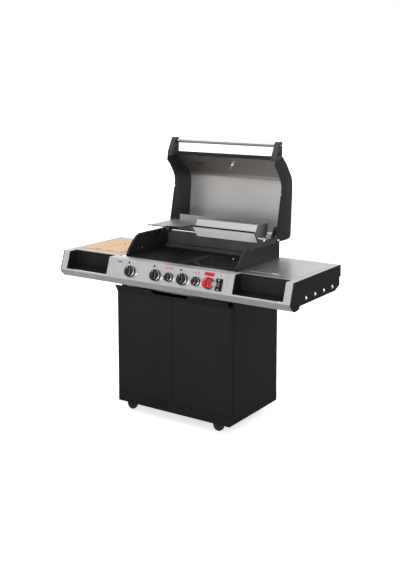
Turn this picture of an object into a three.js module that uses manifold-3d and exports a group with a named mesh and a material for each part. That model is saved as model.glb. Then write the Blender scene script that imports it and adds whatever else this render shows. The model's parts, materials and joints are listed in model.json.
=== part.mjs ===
// A four-burner gas barbecue grill on a two-door cart, with side shelves, storage bins,
// a swing-away warming shelf and an open lid.
// Millimetres. X runs to the right, Y to the back and Z up. The front faces -Y.

import * as THREE from "three";
import { mergeVertices } from "three/addons/utils/BufferGeometryUtils.js";
import Module from "manifold-3d";

const wasm = await Module();
wasm.setup();

// ---------------------------------------------------------------- driving dimensions
// Cart
const CART_WIDTH = 752;
const CART_DEPTH = 506;
const TABLE_Z = 892; // top of the side shelves and of the control panel
const SHELF_REACH = 384; // how far each side shelf stands out from the cart
const SHEET = 2; // steel sheet of the cart
const GAP = 0.4; // clearance between neighbouring pieces
const PLINTH_RISE = 23; // the plinth's foot above the wheels' axles
const PLINTH_HEIGHT = 53;
const DECK_DROP = 8; // the cabinet floor lies this far below the plinth's edge

// Casters
const WHEEL_RADIUS = 32;
const WHEEL_WIDTH = 22;
const AXLE_RADIUS = 4;
const CASTER_TRAIL = 20;
const CASTER_INSET_X = 81;
const CASTER_INSET_Y = 50;
const STEM_RADIUS = 6;

// Doors
const DOOR_THICKNESS = 35;
const DOOR_FLARE = 24; // the grip strip leans this far forward
const DOOR_FLARE_HEIGHT = 43;
const DOOR_FOLD_DROP = 197; // the grip strip starts this far below the table
const DOOR_PIN_RADIUS = 3;
const DOOR_PIN_INSET = 12;
const GRIP_NOTCH = 135; // half width of the finger recess, at the top
const GRIP_NOTCH_SLOPE = 31;

// Control panel and shelf fascias
const PANEL_SETBACK = 18; // the panel's top edge stands this far ahead of the doors
const PANEL_HEIGHT = 106;
const PANEL_SLOPE = 35; // the panel's foot stands this far ahead of its top
const LIP_HEIGHT = 37;
const LIP_RETURN = 21;
const LEDGE = 59; // flat ledge behind the panel's top edge
const KNOB_DROP = 62; // height of the knob row below the table
const BIG_KNOB = 32;
const SMALL_KNOB = 25;
const KNOB_DEPTH = 40;
const SKIRT_HEIGHT = 22;
const KNOB_STEM = 4;
const KNOB_HOLE = 5.5;
const KNOBS = [
  { name: "knob_main_left", x: -250, radius: BIG_KNOB, color: 0x0b0b0c },
  { name: "knob_main_centre", x: -76, radius: BIG_KNOB, color: 0x0b0b0c },
  { name: "knob_rear", x: 13, radius: SMALL_KNOB, color: 0x0b0b0c },
  { name: "knob_main_right", x: 102, radius: BIG_KNOB, color: 0x0b0b0c },
  { name: "knob_side", x: 189, radius: SMALL_KNOB, color: 0x0b0b0c },
  { name: "knob_searing", x: 268, radius: BIG_KNOB, color: 0xb00f14 },
];
const OPENER_INSET = 44; // from the cart's right side

// Side shelves
const POST = 40; // fascia left standing on each side of a bin
const BIN_HEIGHT = 98;
const INSET_MARGIN = 44; // from the firebox side to the shelf's inset
const INSET_FROM_FRONT = 101; // from the cart's front
const INSET_FROM_BACK = 68;
const BOARD_THICKNESS = 15;
const END_PANEL = 4.5;
const HOOK_PITCH = 99.5;
const HOOK_FROM_FRONT = 116;

// Firebox
const FIREBOX_INSET = 16; // from the cart's side to the inner face of a side casting
const CASTING = 30; // thickness of a side casting
const CASTING_WALL = 4;
const RIM_WIDTH = 13; // full height of a casting; outside it the shoulder slopes down
const SHOULDER = 18;
const GRATE_DROP = 5; // below the table
const GRATE_THICKNESS = 15;
const GRATE_FROM_FRONT = 50; // from the cart's front
const GRATE_FROM_BACK = 67;
const BAR = 7;
const BAR_PROUD = 1; // the bars stand this far above the grate's frame
const INSERT_RADIUS = 163;
const SPIT_Y = -30;
const SPIT_RADIUS = 9;

// Lid
const HINGE_FROM_BACK = 27; // from the cart's back
const HINGE_RISE = 102; // above the table
const HINGE_PIN = 5;
const OPEN_ANGLE = THREE.MathUtils.degToRad(102.5);
const RIM_CLEARANCE = 3;
const LID_OVERHANG = 10; // from a side casting's inner face to the lid's outer face
const LID_WALL = 4;
const LID_BEND = 128; // the side walls lean in beyond this distance from the hinge plane
const LID_LEAN = 17;
const LID_DEPTH = 224;
const SKIN = 1.6;
const LINER_GAP = 8;
const HANDLE_RADIUS = 11;
const BRACKET_WIDTH = 32;
const DIAL_RADIUS = 34;

// Warming shelf
const RACK_RISE = 52; // above the lid's hinge
const RACK_LEFT_ROOM = 30; // from the left side casting
const RACK_RIGHT_ROOM = 60;
const WING_WIDTH = 195;
const RACK_DEPTH = 132;
const WING_DEPTH = 242;
const RACK_BEHIND = 26; // the shelf's back edge stands this far behind the lid's hinge
const PIVOT_OFFSET = [-126, -54]; // from the lid's hinge, to the back and up
const BOLT_OFFSET = [-63, 9];
const RACK_PIN = 4;

// ---------------------------------------------------------------- derived places
const HALF = CART_WIDTH / 2;
const FRONT = -CART_DEPTH / 2;
const BACK = CART_DEPTH / 2;
const END = HALF + SHELF_REACH;
const PLINTH_BOTTOM = WHEEL_RADIUS + PLINTH_RISE;
const PLINTH_TOP = PLINTH_BOTTOM + PLINTH_HEIGHT;
const DECK_Z = PLINTH_TOP - DECK_DROP;
const DOOR_FOLD_Z = TABLE_Z - DOOR_FOLD_DROP;
const OPENER_X = HALF - OPENER_INSET;
const INSET_FRONT = FRONT + INSET_FROM_FRONT;
const INSET_BACK = BACK - INSET_FROM_BACK;
const HOOK_FIRST_Y = FRONT + HOOK_FROM_FRONT;
const FIREBOX_INNER = HALF - FIREBOX_INSET;
const FIREBOX_OUTER = FIREBOX_INNER + CASTING;
const PANEL_Y = FRONT - PANEL_SETBACK;
const PANEL_TILT = Math.atan2(PANEL_SLOPE, PANEL_HEIGHT);
const LEDGE_BACK = PANEL_Y + LEDGE;
const CREASE_Y = PANEL_Y - PANEL_SLOPE;
const CREASE_Z = TABLE_Z - PANEL_HEIGHT;
const LIP_Z = CREASE_Z - LIP_HEIGHT;
const KNOB_Y = PANEL_Y - (PANEL_SLOPE * KNOB_DROP) / PANEL_HEIGHT;
const KNOB_Z = TABLE_Z - KNOB_DROP;
const PANEL_TOP = LIP_Z - 1; // top of the cabinet's side walls
const FIREBOX_BOTTOM = PANEL_TOP + GAP;
const GRATE_TOP = TABLE_Z - GRATE_DROP;
const GRATE_FRONT = FRONT + GRATE_FROM_FRONT;
const GRATE_BACK = BACK - GRATE_FROM_BACK;
const HINGE_Y = BACK - HINGE_FROM_BACK;
const HINGE_Z = TABLE_Z + HINGE_RISE;
const CASTING_TOP_Z = HINGE_Z + 7;
const LID_OUTER = FIREBOX_INNER + LID_OVERHANG;
const SHELF_Z = HINGE_Z + RACK_RISE;
const RACK_LEFT = RACK_LEFT_ROOM - FIREBOX_INNER;
const RACK_RIGHT = FIREBOX_INNER - RACK_RIGHT_ROOM;
const WING_RIGHT = RACK_LEFT + WING_WIDTH;
const RACK_BACK = HINGE_Y + RACK_BEHIND;
const RACK_FRONT = RACK_BACK - RACK_DEPTH;
const WING_FRONT = RACK_BACK - WING_DEPTH;
const RACK_PIVOT = [HINGE_Y + PIVOT_OFFSET[0], HINGE_Z + PIVOT_OFFSET[1]];
const RACK_BOLT = [HINGE_Y + BOLT_OFFSET[0], HINGE_Z + BOLT_OFFSET[1]];

// ---------------------------------------------------------------- solids
// Turns a closed geometry into a solid for joining and cutting.
function solid(geometry) {
  const bare = geometry.clone();
  bare.deleteAttribute("normal");
  bare.deleteAttribute("uv");
  const merged = mergeVertices(bare, 1e-4);
  return new wasm.Manifold(
    new wasm.Mesh({
      numProp: 3,
      vertProperties: merged.attributes.position.array,
      triVerts: new Uint32Array(merged.index.array),
    }),
  );
}

function box(x0, x1, y0, y1, z0, z1) {
  const geometry = new THREE.BoxGeometry(x1 - x0, y1 - y0, z1 - z0);
  geometry.translate((x0 + x1) / 2, (y0 + y1) / 2, (z0 + z1) / 2);
  return solid(geometry);
}

// A prism along an axis. Its outline is in (y, z) for x, in (x, z) for y and in (x, y) for z.
function prismGeometry(axis, points, from, to) {
  const shape = new THREE.Shape(points.map(([u, v]) => new THREE.Vector2(u, v)));
  const geometry = new THREE.ExtrudeGeometry(shape, {
    depth: to - from,
    bevelEnabled: false,
  });
  const X = new THREE.Vector3(1, 0, 0);
  const Y = new THREE.Vector3(0, 1, 0);
  const Z = new THREE.Vector3(0, 0, 1);
  const turn = new THREE.Matrix4();
  if (axis === "x") turn.makeBasis(Y, Z, X).setPosition(from, 0, 0);
  if (axis === "y") turn.makeBasis(X, Z, Y.negate()).setPosition(0, to, 0);
  if (axis === "z") turn.setPosition(0, 0, from);
  return geometry.applyMatrix4(turn);
}

const prism = (axis, points, from, to) => solid(prismGeometry(axis, points, from, to));

// A solid along X between two outlines in (y, z) that have the same number of points.
function loft(near, from, far, to) {
  const count = near.length;
  const corners = [
    ...near.map(([y, z]) => new THREE.Vector3(from, y, z)),
    ...far.map(([y, z]) => new THREE.Vector3(to, y, z)),
  ];
  const cap = (points) =>
    THREE.ShapeUtils.triangulateShape(
      points.map(([y, z]) => new THREE.Vector2(y, z)),
      [],
    );
  const walls = near.flatMap((_, i) => {
    const j = (i + 1) % count;
    return [
      [j, i, j + count],
      [j + count, i, i + count],
    ];
  });
  const ends = [
    ...cap(near).map(([a, b, c]) => [c, b, a]),
    ...cap(far).map((face) => face.map((corner) => corner + count)),
  ];
  const geometry = new THREE.BufferGeometry().setFromPoints(corners);
  geometry.setIndex([...walls, ...ends].flat());
  return solid(geometry);
}

// A round rod along x, y or z through the two other coordinates given.
function rod(axis, [u, v], radius, from, to, segments = 16) {
  const geometry = new THREE.CylinderGeometry(radius, radius, to - from, segments);
  const middle = (from + to) / 2;
  if (axis === "x") geometry.rotateZ(Math.PI / 2).translate(middle, u, v);
  if (axis === "y") geometry.translate(u, middle, v);
  if (axis === "z") geometry.rotateX(Math.PI / 2).translate(u, v, middle);
  return solid(geometry);
}

// A turned solid about Z from a profile of (radius, height) points.
function turned(profile, segments = 24) {
  const geometry = new THREE.LatheGeometry(
    profile.map(([r, z]) => new THREE.Vector2(r, z)),
    segments,
  );
  return solid(geometry.rotateX(Math.PI / 2));
}

function join(...parts) {
  return parts.reduce((whole, part) => whole.add(part));
}

function cut(body, ...tools) {
  return tools.reduce((rest, tool) => rest.subtract(tool), body);
}

// Moves an open outline sideways, to the left of its direction, with mitred corners.
function offsetLine(points, distance) {
  const directions = points.slice(1).map(([u, v], i) => {
    const du = u - points[i][0];
    const dv = v - points[i][1];
    const length = Math.hypot(du, dv);
    return [du / length, dv / length];
  });
  return points.map(([u, v], i) => {
    const before = directions[Math.max(i - 1, 0)];
    const after = directions[Math.min(i, directions.length - 1)];
    const nu = -before[1] - after[1];
    const nv = before[0] + after[0];
    const scale = distance / (1 + before[0] * after[0] + before[1] * after[1]);
    return [u + nu * scale, v + nv * scale];
  });
}

// The closed outline of a bent sheet whose one face follows the points.
function fold(points, thickness) {
  return [...points, ...offsetLine(points, thickness).reverse()];
}

const octagon = (cx, cy, radius) =>
  Array.from({ length: 8 }, (_, i) => {
    const angle = ((i + 0.5) * Math.PI) / 4;
    return [cx + radius * Math.cos(angle), cy + radius * Math.sin(angle)];
  });

// ---------------------------------------------------------------- scene graph
const grill = new THREE.Group();

const steel = { color: 0xb9b9b8, roughness: 0.35, metalness: 0.9 };
const satin = { color: 0xa9a9a7, roughness: 0.45, metalness: 0.9 };
const black = { color: 0x1d1d1e, roughness: 0.5, metalness: 0.3 };
const casting = { color: 0x202021, roughness: 0.6, metalness: 0.4 };
const plastic = { color: 0x111112, roughness: 0.45, metalness: 0 };
const iron = { color: 0x1a1a1a, roughness: 0.8, metalness: 0.3 };

function piece(name, body, look, parent = grill) {
  const made = body.getMesh();
  const geometry = new THREE.BufferGeometry();
  geometry.setAttribute("position", new THREE.BufferAttribute(made.vertProperties, 3));
  geometry.setIndex(new THREE.BufferAttribute(made.triVerts, 1));
  const mesh = new THREE.Mesh(geometry, new THREE.MeshStandardMaterial(look));
  mesh.name = name;
  parent.add(mesh);
  return mesh;
}

// Runs a maker once for each side, with -1 for the left and 1 for the right.
function bothSides(make) {
  make("left", -1);
  make("right", 1);
}

const mirrored = (body, side) => (side > 0 ? body : body.mirror([1, 0, 0]));

// ---------------------------------------------------------------- plinth and casters
const CASTER_X = HALF - CASTER_INSET_X;
const CASTER_Y = BACK - CASTER_INSET_Y;
const CROWN_TOP = 2 * WHEEL_RADIUS + 20;
const BOSS = 24;

function plinth() {
  let body = box(-HALF, HALF, FRONT, BACK, PLINTH_BOTTOM, PLINTH_TOP);
  const inX = HALF - SHEET;
  const inY = BACK - SHEET;
  body = cut(
    body,
    box(-inX, inX, -inY, inY, PLINTH_BOTTOM - 1, DECK_Z - SHEET),
    box(-inX, inX, -inY, inY, DECK_Z, PLINTH_TOP + 1),
  );
  for (const x of [-CASTER_X, CASTER_X])
    for (const y of [-CASTER_Y, CASTER_Y]) {
      const boss = box(x - BOSS, x + BOSS, y - BOSS, y + BOSS, CROWN_TOP, DECK_Z - 1);
      body = join(body, boss);
      body = cut(body, rod("z", [x, y], STEM_RADIUS + GAP, CROWN_TOP - 1, DECK_Z - 3));
    }
  for (const x of [DOOR_PIN_INSET - HALF, HALF - DOOR_PIN_INSET])
    body = join(
      body,
      rod("z", [x, FRONT + DOOR_THICKNESS / 2], DOOR_PIN_RADIUS, DECK_Z - 1, PLINTH_TOP + 9, 12),
    );
  return body;
}

function casterFork() {
  const half = WHEEL_WIDTH / 2 + 1.5;
  const leg = 3;
  const crown = rod("z", [0, 0], 20, WHEEL_RADIUS * 2 + 6, CROWN_TOP - GAP, 20);
  const stem = rod("z", [0, 0], STEM_RADIUS, CROWN_TOP - 3, DECK_Z - 4);
  const top = WHEEL_RADIUS * 2 + 8;
  const outline = [
    [-CASTER_TRAIL - 8, WHEEL_RADIUS - 8],
    [-CASTER_TRAIL + 8, WHEEL_RADIUS - 8],
    [12, top],
    [-14, top],
    [-CASTER_TRAIL - 8, WHEEL_RADIUS + 4],
  ];
  const legs = [-1, 1].map((side) =>
    prism("y", outline, ...(side < 0 ? [-half - leg, -half] : [half, half + leg])),
  );
  const axle = rod("y", [-CASTER_TRAIL, WHEEL_RADIUS], AXLE_RADIUS, -half - 2, half + 2, 12);
  return join(crown, stem, ...legs, axle);
}

function casterWheel() {
  const half = WHEEL_WIDTH / 2;
  const bore = AXLE_RADIUS + GAP;
  const profile = [
    [bore, -half],
    [WHEEL_RADIUS - 4, -half],
    [WHEEL_RADIUS, -half + 4],
    [WHEEL_RADIUS, half - 4],
    [WHEEL_RADIUS - 4, half],
    [bore, half],
    [bore, -half],
  ];
  return turned(profile, 32);
}

piece("plinth", plinth(), black);
for (const [place, x, y] of [
  ["front_left", -CASTER_X, -CASTER_Y],
  ["front_right", CASTER_X, -CASTER_Y],
  ["back_left", -CASTER_X, CASTER_Y],
  ["back_right", CASTER_X, CASTER_Y],
]) {
  const caster = new THREE.Group();
  caster.position.set(x, y, 0);
  grill.add(caster);
  piece("caster_fork_" + place, casterFork(), steel, caster);
  const wheel = piece("caster_wheel_" + place, casterWheel(), plastic, caster);
  wheel.position.set(-CASTER_TRAIL, 0, WHEEL_RADIUS);
  wheel.rotation.x = Math.PI / 2;
}

// ---------------------------------------------------------------- cabinet
const TRAY_Z = TABLE_Z - 176;
const SIDE_FRONT = FRONT + DOOR_THICKNESS + 5;
const RAIL = 22;

function sidePanel() {
  const wall = box(HALF - SHEET, HALF, SIDE_FRONT, BACK - SHEET, PLINTH_TOP + GAP, PANEL_TOP);
  const flangeX = HALF - RAIL;
  const bottom = PLINTH_TOP + GAP;
  const front = box(flangeX, HALF, SIDE_FRONT, SIDE_FRONT + SHEET, bottom, PANEL_TOP);
  const railBottom = TRAY_Z - SHEET - GAP;
  const back = box(flangeX, HALF, BACK - 2 * SHEET, BACK - SHEET, bottom, railBottom + 1);
  const rail = box(flangeX, HALF, SIDE_FRONT, BACK - SHEET, railBottom, TRAY_Z - GAP);
  const seat = box(FIREBOX_INNER, HALF, SIDE_FRONT, BACK - SHEET, PANEL_TOP - SHEET, PANEL_TOP);
  const tabFront = FRONT + DOOR_THICKNESS / 2 - 8;
  const tabBottom = DOOR_FOLD_Z + 10;
  const tab = box(flangeX, HALF, tabFront, SIDE_FRONT + 1, tabBottom, tabBottom + 3);
  const pinAt = [HALF - DOOR_PIN_INSET, FRONT + DOOR_THICKNESS / 2];
  const pin = rod("z", pinAt, DOOR_PIN_RADIUS, DOOR_FOLD_Z - 8, tabBottom + 1, 12);
  return join(wall, front, back, rail, seat, tab, pin);
}

bothSides((side, sign) => {
  piece("side_panel_" + side, mirrored(sidePanel(), sign), black);
});

const backPanel = cut(
  box(
    -HALF + SHEET + GAP,
    HALF - SHEET - GAP,
    BACK - SHEET + GAP,
    BACK,
    PLINTH_TOP + GAP,
    TRAY_Z - SHEET - 5,
  ),
  rod("y", [0, PLINTH_TOP + 60], 30, BACK - 10, BACK + 10, 20),
);
piece("back_panel", backPanel, black);

function door() {
  const left = 1.2;
  const right = HALF - 0.6;
  const back = FRONT + DOOR_THICKNESS;
  const bottom = PLINTH_TOP + 2;
  const top = DOOR_FOLD_Z + 4;
  let pan = cut(
    box(left, right, FRONT, back, bottom, top),
    box(left + SHEET, right - SHEET, FRONT + SHEET, back + 1, bottom + SHEET, top - SHEET),
  );
  const grip = fold(
    [
      [FRONT, DOOR_FOLD_Z - 10],
      [FRONT, DOOR_FOLD_Z],
      [FRONT - DOOR_FLARE, DOOR_FOLD_Z + DOOR_FLARE_HEIGHT],
    ],
    -SHEET,
  );
  pan = join(pan, prism("x", grip, left, right));
  const notchTop = DOOR_FOLD_Z + 50;
  const notch = prism(
    "y",
    [
      [-1, DOOR_FOLD_Z + 23],
      [GRIP_NOTCH - GRIP_NOTCH_SLOPE, DOOR_FOLD_Z + 23],
      [GRIP_NOTCH, notchTop],
      [-1, notchTop],
    ],
    FRONT - 60,
    FRONT - 0.5,
  );
  const pinAt = [HALF - DOOR_PIN_INSET, FRONT + DOOR_THICKNESS / 2];
  const pinHole = DOOR_PIN_RADIUS + GAP;
  return cut(
    pan,
    notch,
    rod("z", pinAt, pinHole, bottom - 1, bottom + 3, 12),
    rod("z", pinAt, pinHole, top - 3, top + 1, 12),
  );
}

bothSides((side, sign) => {
  piece("door_" + side, mirrored(door(), sign), black);
});

// ---------------------------------------------------------------- control panel
const FASCIA = [
  [LEDGE_BACK, TABLE_Z],
  [PANEL_Y, TABLE_Z],
  [CREASE_Y, CREASE_Z],
  [CREASE_Y + LIP_RETURN, LIP_Z],
  [CREASE_Y + LIP_RETURN + 22, LIP_Z],
];

// A group whose +Z stands square on the sloping panel at the height of the knobs.
function panelGroup(x) {
  const group = new THREE.Group();
  group.position.set(x, KNOB_Y, KNOB_Z);
  group.rotation.x = Math.PI / 2 - PANEL_TILT;
  grill.add(group);
  return group;
}

// A rod square to the panel, from one height above its face to another.
function panelRod(x, radius, from, to, segments = 16) {
  const geometry = new THREE.CylinderGeometry(radius, radius, to - from, segments);
  geometry.rotateX(Math.PI / 2).translate(0, 0, (from + to) / 2);
  geometry.rotateX(Math.PI / 2 - PANEL_TILT).translate(x, KNOB_Y, KNOB_Z);
  return solid(geometry);
}

const knobHoles = KNOBS.map(({ x }) => panelRod(x, KNOB_HOLE, -6, 6));
piece(
  "control_panel",
  cut(prism("x", fold(FASCIA, SHEET), -HALF + GAP, HALF - GAP), ...knobHoles),
  steel,
);

function knob(radius) {
  const skirt = turned([
    [0, 1],
    [radius, 1],
    [radius, 7],
    [radius - 2, 9],
    [radius - 3, SKIRT_HEIGHT],
    [0, SKIRT_HEIGHT],
  ]);
  const barWidth = radius * 0.26;
  const bar = box(-barWidth, barWidth, -radius + 4, radius - 4, SKIRT_HEIGHT - 2, KNOB_DEPTH);
  const dome = turned([
    [0, 12],
    [radius - 3, 12],
    [radius - 4, KNOB_DEPTH - 3],
    [radius - 6, KNOB_DEPTH],
    [0, KNOB_DEPTH],
  ]);
  const stem = rod("z", [0, 0], KNOB_STEM, -14, 3, 12);
  return join(skirt, bar.intersect(dome), stem);
}

for (const { name, x, radius, color } of KNOBS)
  piece(name, knob(radius), { color, roughness: 0.25, metalness: 0 }, panelGroup(x));

// Manifold pipe behind the panel, with one valve for each knob.
const PIPE_SETBACK = 50;
const pipeAt = [
  KNOB_Y + PIPE_SETBACK * Math.cos(PANEL_TILT),
  KNOB_Z - PIPE_SETBACK * Math.sin(PANEL_TILT),
];
const valves = KNOBS.map(({ x }) => panelRod(x, 9, -PIPE_SETBACK, -15 - GAP, 12));
piece("gas_manifold", join(rod("x", pipeAt, 8, 60 - FIREBOX_INNER, FIREBOX_INNER - 30, 12), ...valves), satin);

function bottleOpener() {
  const plate = box(-20, 20, -33, 33, GAP, 4);
  const claw = prism(
    "y",
    [
      [-8, 3],
      [8, 3],
      [10, 16],
      [3, 34],
      [-21, 42],
      [-23, 37],
      [-4, 27],
    ],
    -11,
    11,
  );
  return join(plate, claw);
}
piece("bottle_opener", bottleOpener(), plastic, panelGroup(OPENER_X));

// ---------------------------------------------------------------- side shelves
const FASCIA_LEFT = HALF + GAP;
const FASCIA_RIGHT = END - END_PANEL - GAP;
const BIN_LEFT = FASCIA_LEFT + POST;
const BIN_RIGHT = FASCIA_RIGHT - POST;
const BIN_FLOOR = TABLE_Z - BIN_HEIGHT;
const SHELF_FRONT = LEDGE_BACK + GAP;
const SHELF_LEFT = FIREBOX_OUTER + GAP;
const INSET_LEFT = FIREBOX_OUTER + INSET_MARGIN;
const INSET_RIGHT = FASCIA_RIGHT - 29;
const INSET_DEPTH = 15;

function shelfFascia() {
  const sheet = prism("x", fold(FASCIA, SHEET), FASCIA_LEFT, FASCIA_RIGHT);
  return cut(
    sheet,
    box(BIN_LEFT, BIN_RIGHT, CREASE_Y - 20, SHELF_FRONT + 10, BIN_FLOOR, TABLE_Z + 10),
  );
}

// The bin hangs in the fascia's opening and is open at the top and the front.
function bin() {
  const back = SHELF_FRONT - GAP;
  const top = TABLE_Z - 3;
  const slope = PANEL_SLOPE / PANEL_HEIGHT;
  const frontAt = (z) => PANEL_Y - (TABLE_Z - z) * slope + SHEET + 1;
  const outside = [
    [back, top],
    [back, BIN_FLOOR + GAP],
    [frontAt(BIN_FLOOR), BIN_FLOOR + GAP],
    [frontAt(top), top],
  ];
  const inside = [
    [back - SHEET, top + 10],
    [back - SHEET, BIN_FLOOR + SHEET],
    [CREASE_Y - 40, BIN_FLOOR + SHEET],
    [CREASE_Y - 40, top + 10],
  ];
  const left = BIN_LEFT + GAP;
  const right = BIN_RIGHT - GAP;
  return cut(
    prism("x", outside, left, right),
    prism("x", inside, left + SHEET, right - SHEET),
  );
}

// Shelf top with turned-down edges and a sunk inset for the board or the side burner.
function shelfTop(insetFloor) {
  const profile = fold(
    [
      [BACK + 5, TABLE_Z - 20],
      [BACK + 5, TABLE_Z],
      [SHELF_FRONT, TABLE_Z],
      [SHELF_FRONT, TABLE_Z - 20],
    ],
    SHEET,
  );
  const sheet = prism("x", profile, SHELF_LEFT, FASCIA_RIGHT);
  const bottom = TABLE_Z - insetFloor;
  const wall = SHEET;
  const sink = box(
    INSET_LEFT - wall,
    INSET_RIGHT + wall,
    INSET_FRONT - wall,
    INSET_BACK + wall,
    bottom - SHEET,
    TABLE_Z - 1,
  );
  const hollow = box(
    INSET_LEFT,
    INSET_RIGHT,
    INSET_FRONT,
    INSET_BACK,
    bottom,
    TABLE_Z + 1,
  );
  const border = 12;
  const window = box(
    INSET_LEFT + border,
    INSET_RIGHT - border,
    INSET_FRONT + border,
    INSET_BACK - border,
    bottom - SHEET - 1,
    bottom + 1,
  );
  return cut(join(sheet, sink), hollow, window);
}

// Black cover on the shelf's end, with four hook loops along its foot.
function endPanel() {
  const outline = [
    [PANEL_Y, TABLE_Z],
    [CREASE_Y, CREASE_Z],
    [CREASE_Y + 9, CREASE_Z - 20],
    [CREASE_Y + 36, LIP_Z - 6],
    [CREASE_Y + 58, LIP_Z - 8],
    [CREASE_Y + 90, LIP_Z - 4],
    [CREASE_Y + 100, LIP_Z + 12],
    [BACK - 60, LIP_Z + 12],
    [BACK - 6, LIP_Z + 34],
    [BACK - 6, TABLE_Z - 64],
    [BACK + 7, TABLE_Z - 63],
    [BACK + 7, TABLE_Z],
  ];
  const hooks = [0, 1, 2, 3].map((i) => {
    const y = HOOK_FIRST_Y + i * HOOK_PITCH;
    const slot = [
      [y - 8, LIP_Z + 36],
      [y - 4, LIP_Z + 30],
      [y + 4, LIP_Z + 30],
      [y + 8, LIP_Z + 36],
      [y + 8, LIP_Z + 46],
      [y + 4, LIP_Z + 52],
      [y - 4, LIP_Z + 52],
      [y - 8, LIP_Z + 46],
    ];
    return prism("x", slot, END - 20, END + 5);
  });
  return cut(prism("x", outline, END - END_PANEL, END), ...hooks);
}

const BOARD_LEFT = INSET_LEFT + GAP;
const BOARD_RIGHT = INSET_RIGHT - GAP;

function cuttingBoard() {
  const bottom = TABLE_Z - INSET_DEPTH + GAP;
  const board = box(
    BOARD_LEFT,
    BOARD_RIGHT,
    INSET_FRONT + GAP,
    INSET_BACK - GAP,
    bottom,
    bottom + BOARD_THICKNESS + 2,
  );
  const middle = (BOARD_LEFT + BOARD_RIGHT) / 2;
  const slots = [-48, 48].map((dx) => {
    const x = middle + dx;
    const y = INSET_FRONT + 22;
    const bar = box(x - 20, x + 20, y - 6, y + 6, bottom - 1, TABLE_Z + 10);
    const ends = [x - 20, x + 20].map((end) =>
      rod("z", [end, y], 6, bottom - 1, TABLE_Z + 10, 12),
    );
    return join(bar, ...ends);
  });
  return cut(board, ...slots);
}

const LID_PLATE = 2.5;

function sideBurner() {
  const left = INSET_LEFT + 14;
  const right = INSET_RIGHT - 14;
  const front = INSET_FRONT + 14;
  const back = INSET_BACK - 14;
  const top = TABLE_Z - INSET_DEPTH - SHEET - GAP;
  const bottom = top - 42;
  const pan = cut(
    box(left, right, front, back, bottom, top),
    box(left + SHEET, right - SHEET, front + SHEET, back - SHEET, bottom + SHEET, top + 1),
  );
  const cx = (left + right) / 2;
  const cy = (front + back) / 2;
  const base = rod("z", [cx, cy], 34, bottom + 1, top - 14, 24);
  const cap = rod("z", [cx, cy], 40, top - 16, top - 8, 24);
  return join(pan, base, cap);
}

function sideBurnerLid() {
  const top = TABLE_Z + 1;
  const plate = box(
    INSET_LEFT + GAP,
    INSET_RIGHT - GAP,
    INSET_FRONT + GAP,
    INSET_BACK - GAP,
    top - LID_PLATE,
    top,
  );
  const middle = (INSET_LEFT + INSET_RIGHT) / 2;
  const tab = box(middle - 18, middle + 18, INSET_FRONT + 6, INSET_FRONT + 16, top - 1, top + 5);
  return join(plate, tab);
}

bothSides((side, sign) => {
  piece("shelf_fascia_" + side, mirrored(shelfFascia(), sign), steel);
  piece("bin_" + side, mirrored(bin(), sign), plastic);
  piece("shelf_top_" + side, mirrored(shelfTop(INSET_DEPTH), sign), steel);
  piece("end_panel_" + side, mirrored(endPanel(), sign), plastic);
});
piece("cutting_board", mirrored(cuttingBoard(), -1), {
  color: 0xdfb283,
  roughness: 0.55,
  metalness: 0,
});
piece("side_burner", sideBurner(), satin);
piece("side_burner_lid", sideBurnerLid(), steel);

// ---------------------------------------------------------------- firebox
// The upper edge of a side casting, from the table at the front to the hinge at the back.
const CASTING_FRONT = LEDGE_BACK + 40;
const CASTING_EDGE = [
  [CASTING_FRONT, TABLE_Z + 4],
  [CASTING_FRONT + 20, TABLE_Z + 38],
  [CASTING_FRONT + 54, CASTING_TOP_Z - 34],
  [CASTING_FRONT + 84, CASTING_TOP_Z - 10],
  [CASTING_FRONT + 114, CASTING_TOP_Z],
  [HINGE_Y - 30, CASTING_TOP_Z],
];
const spitHole = (from, to) =>
  rod("x", [SPIT_Y, CASTING_TOP_Z + RIM_CLEARANCE / 2], SPIT_RADIUS, from, to, 12);

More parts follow.
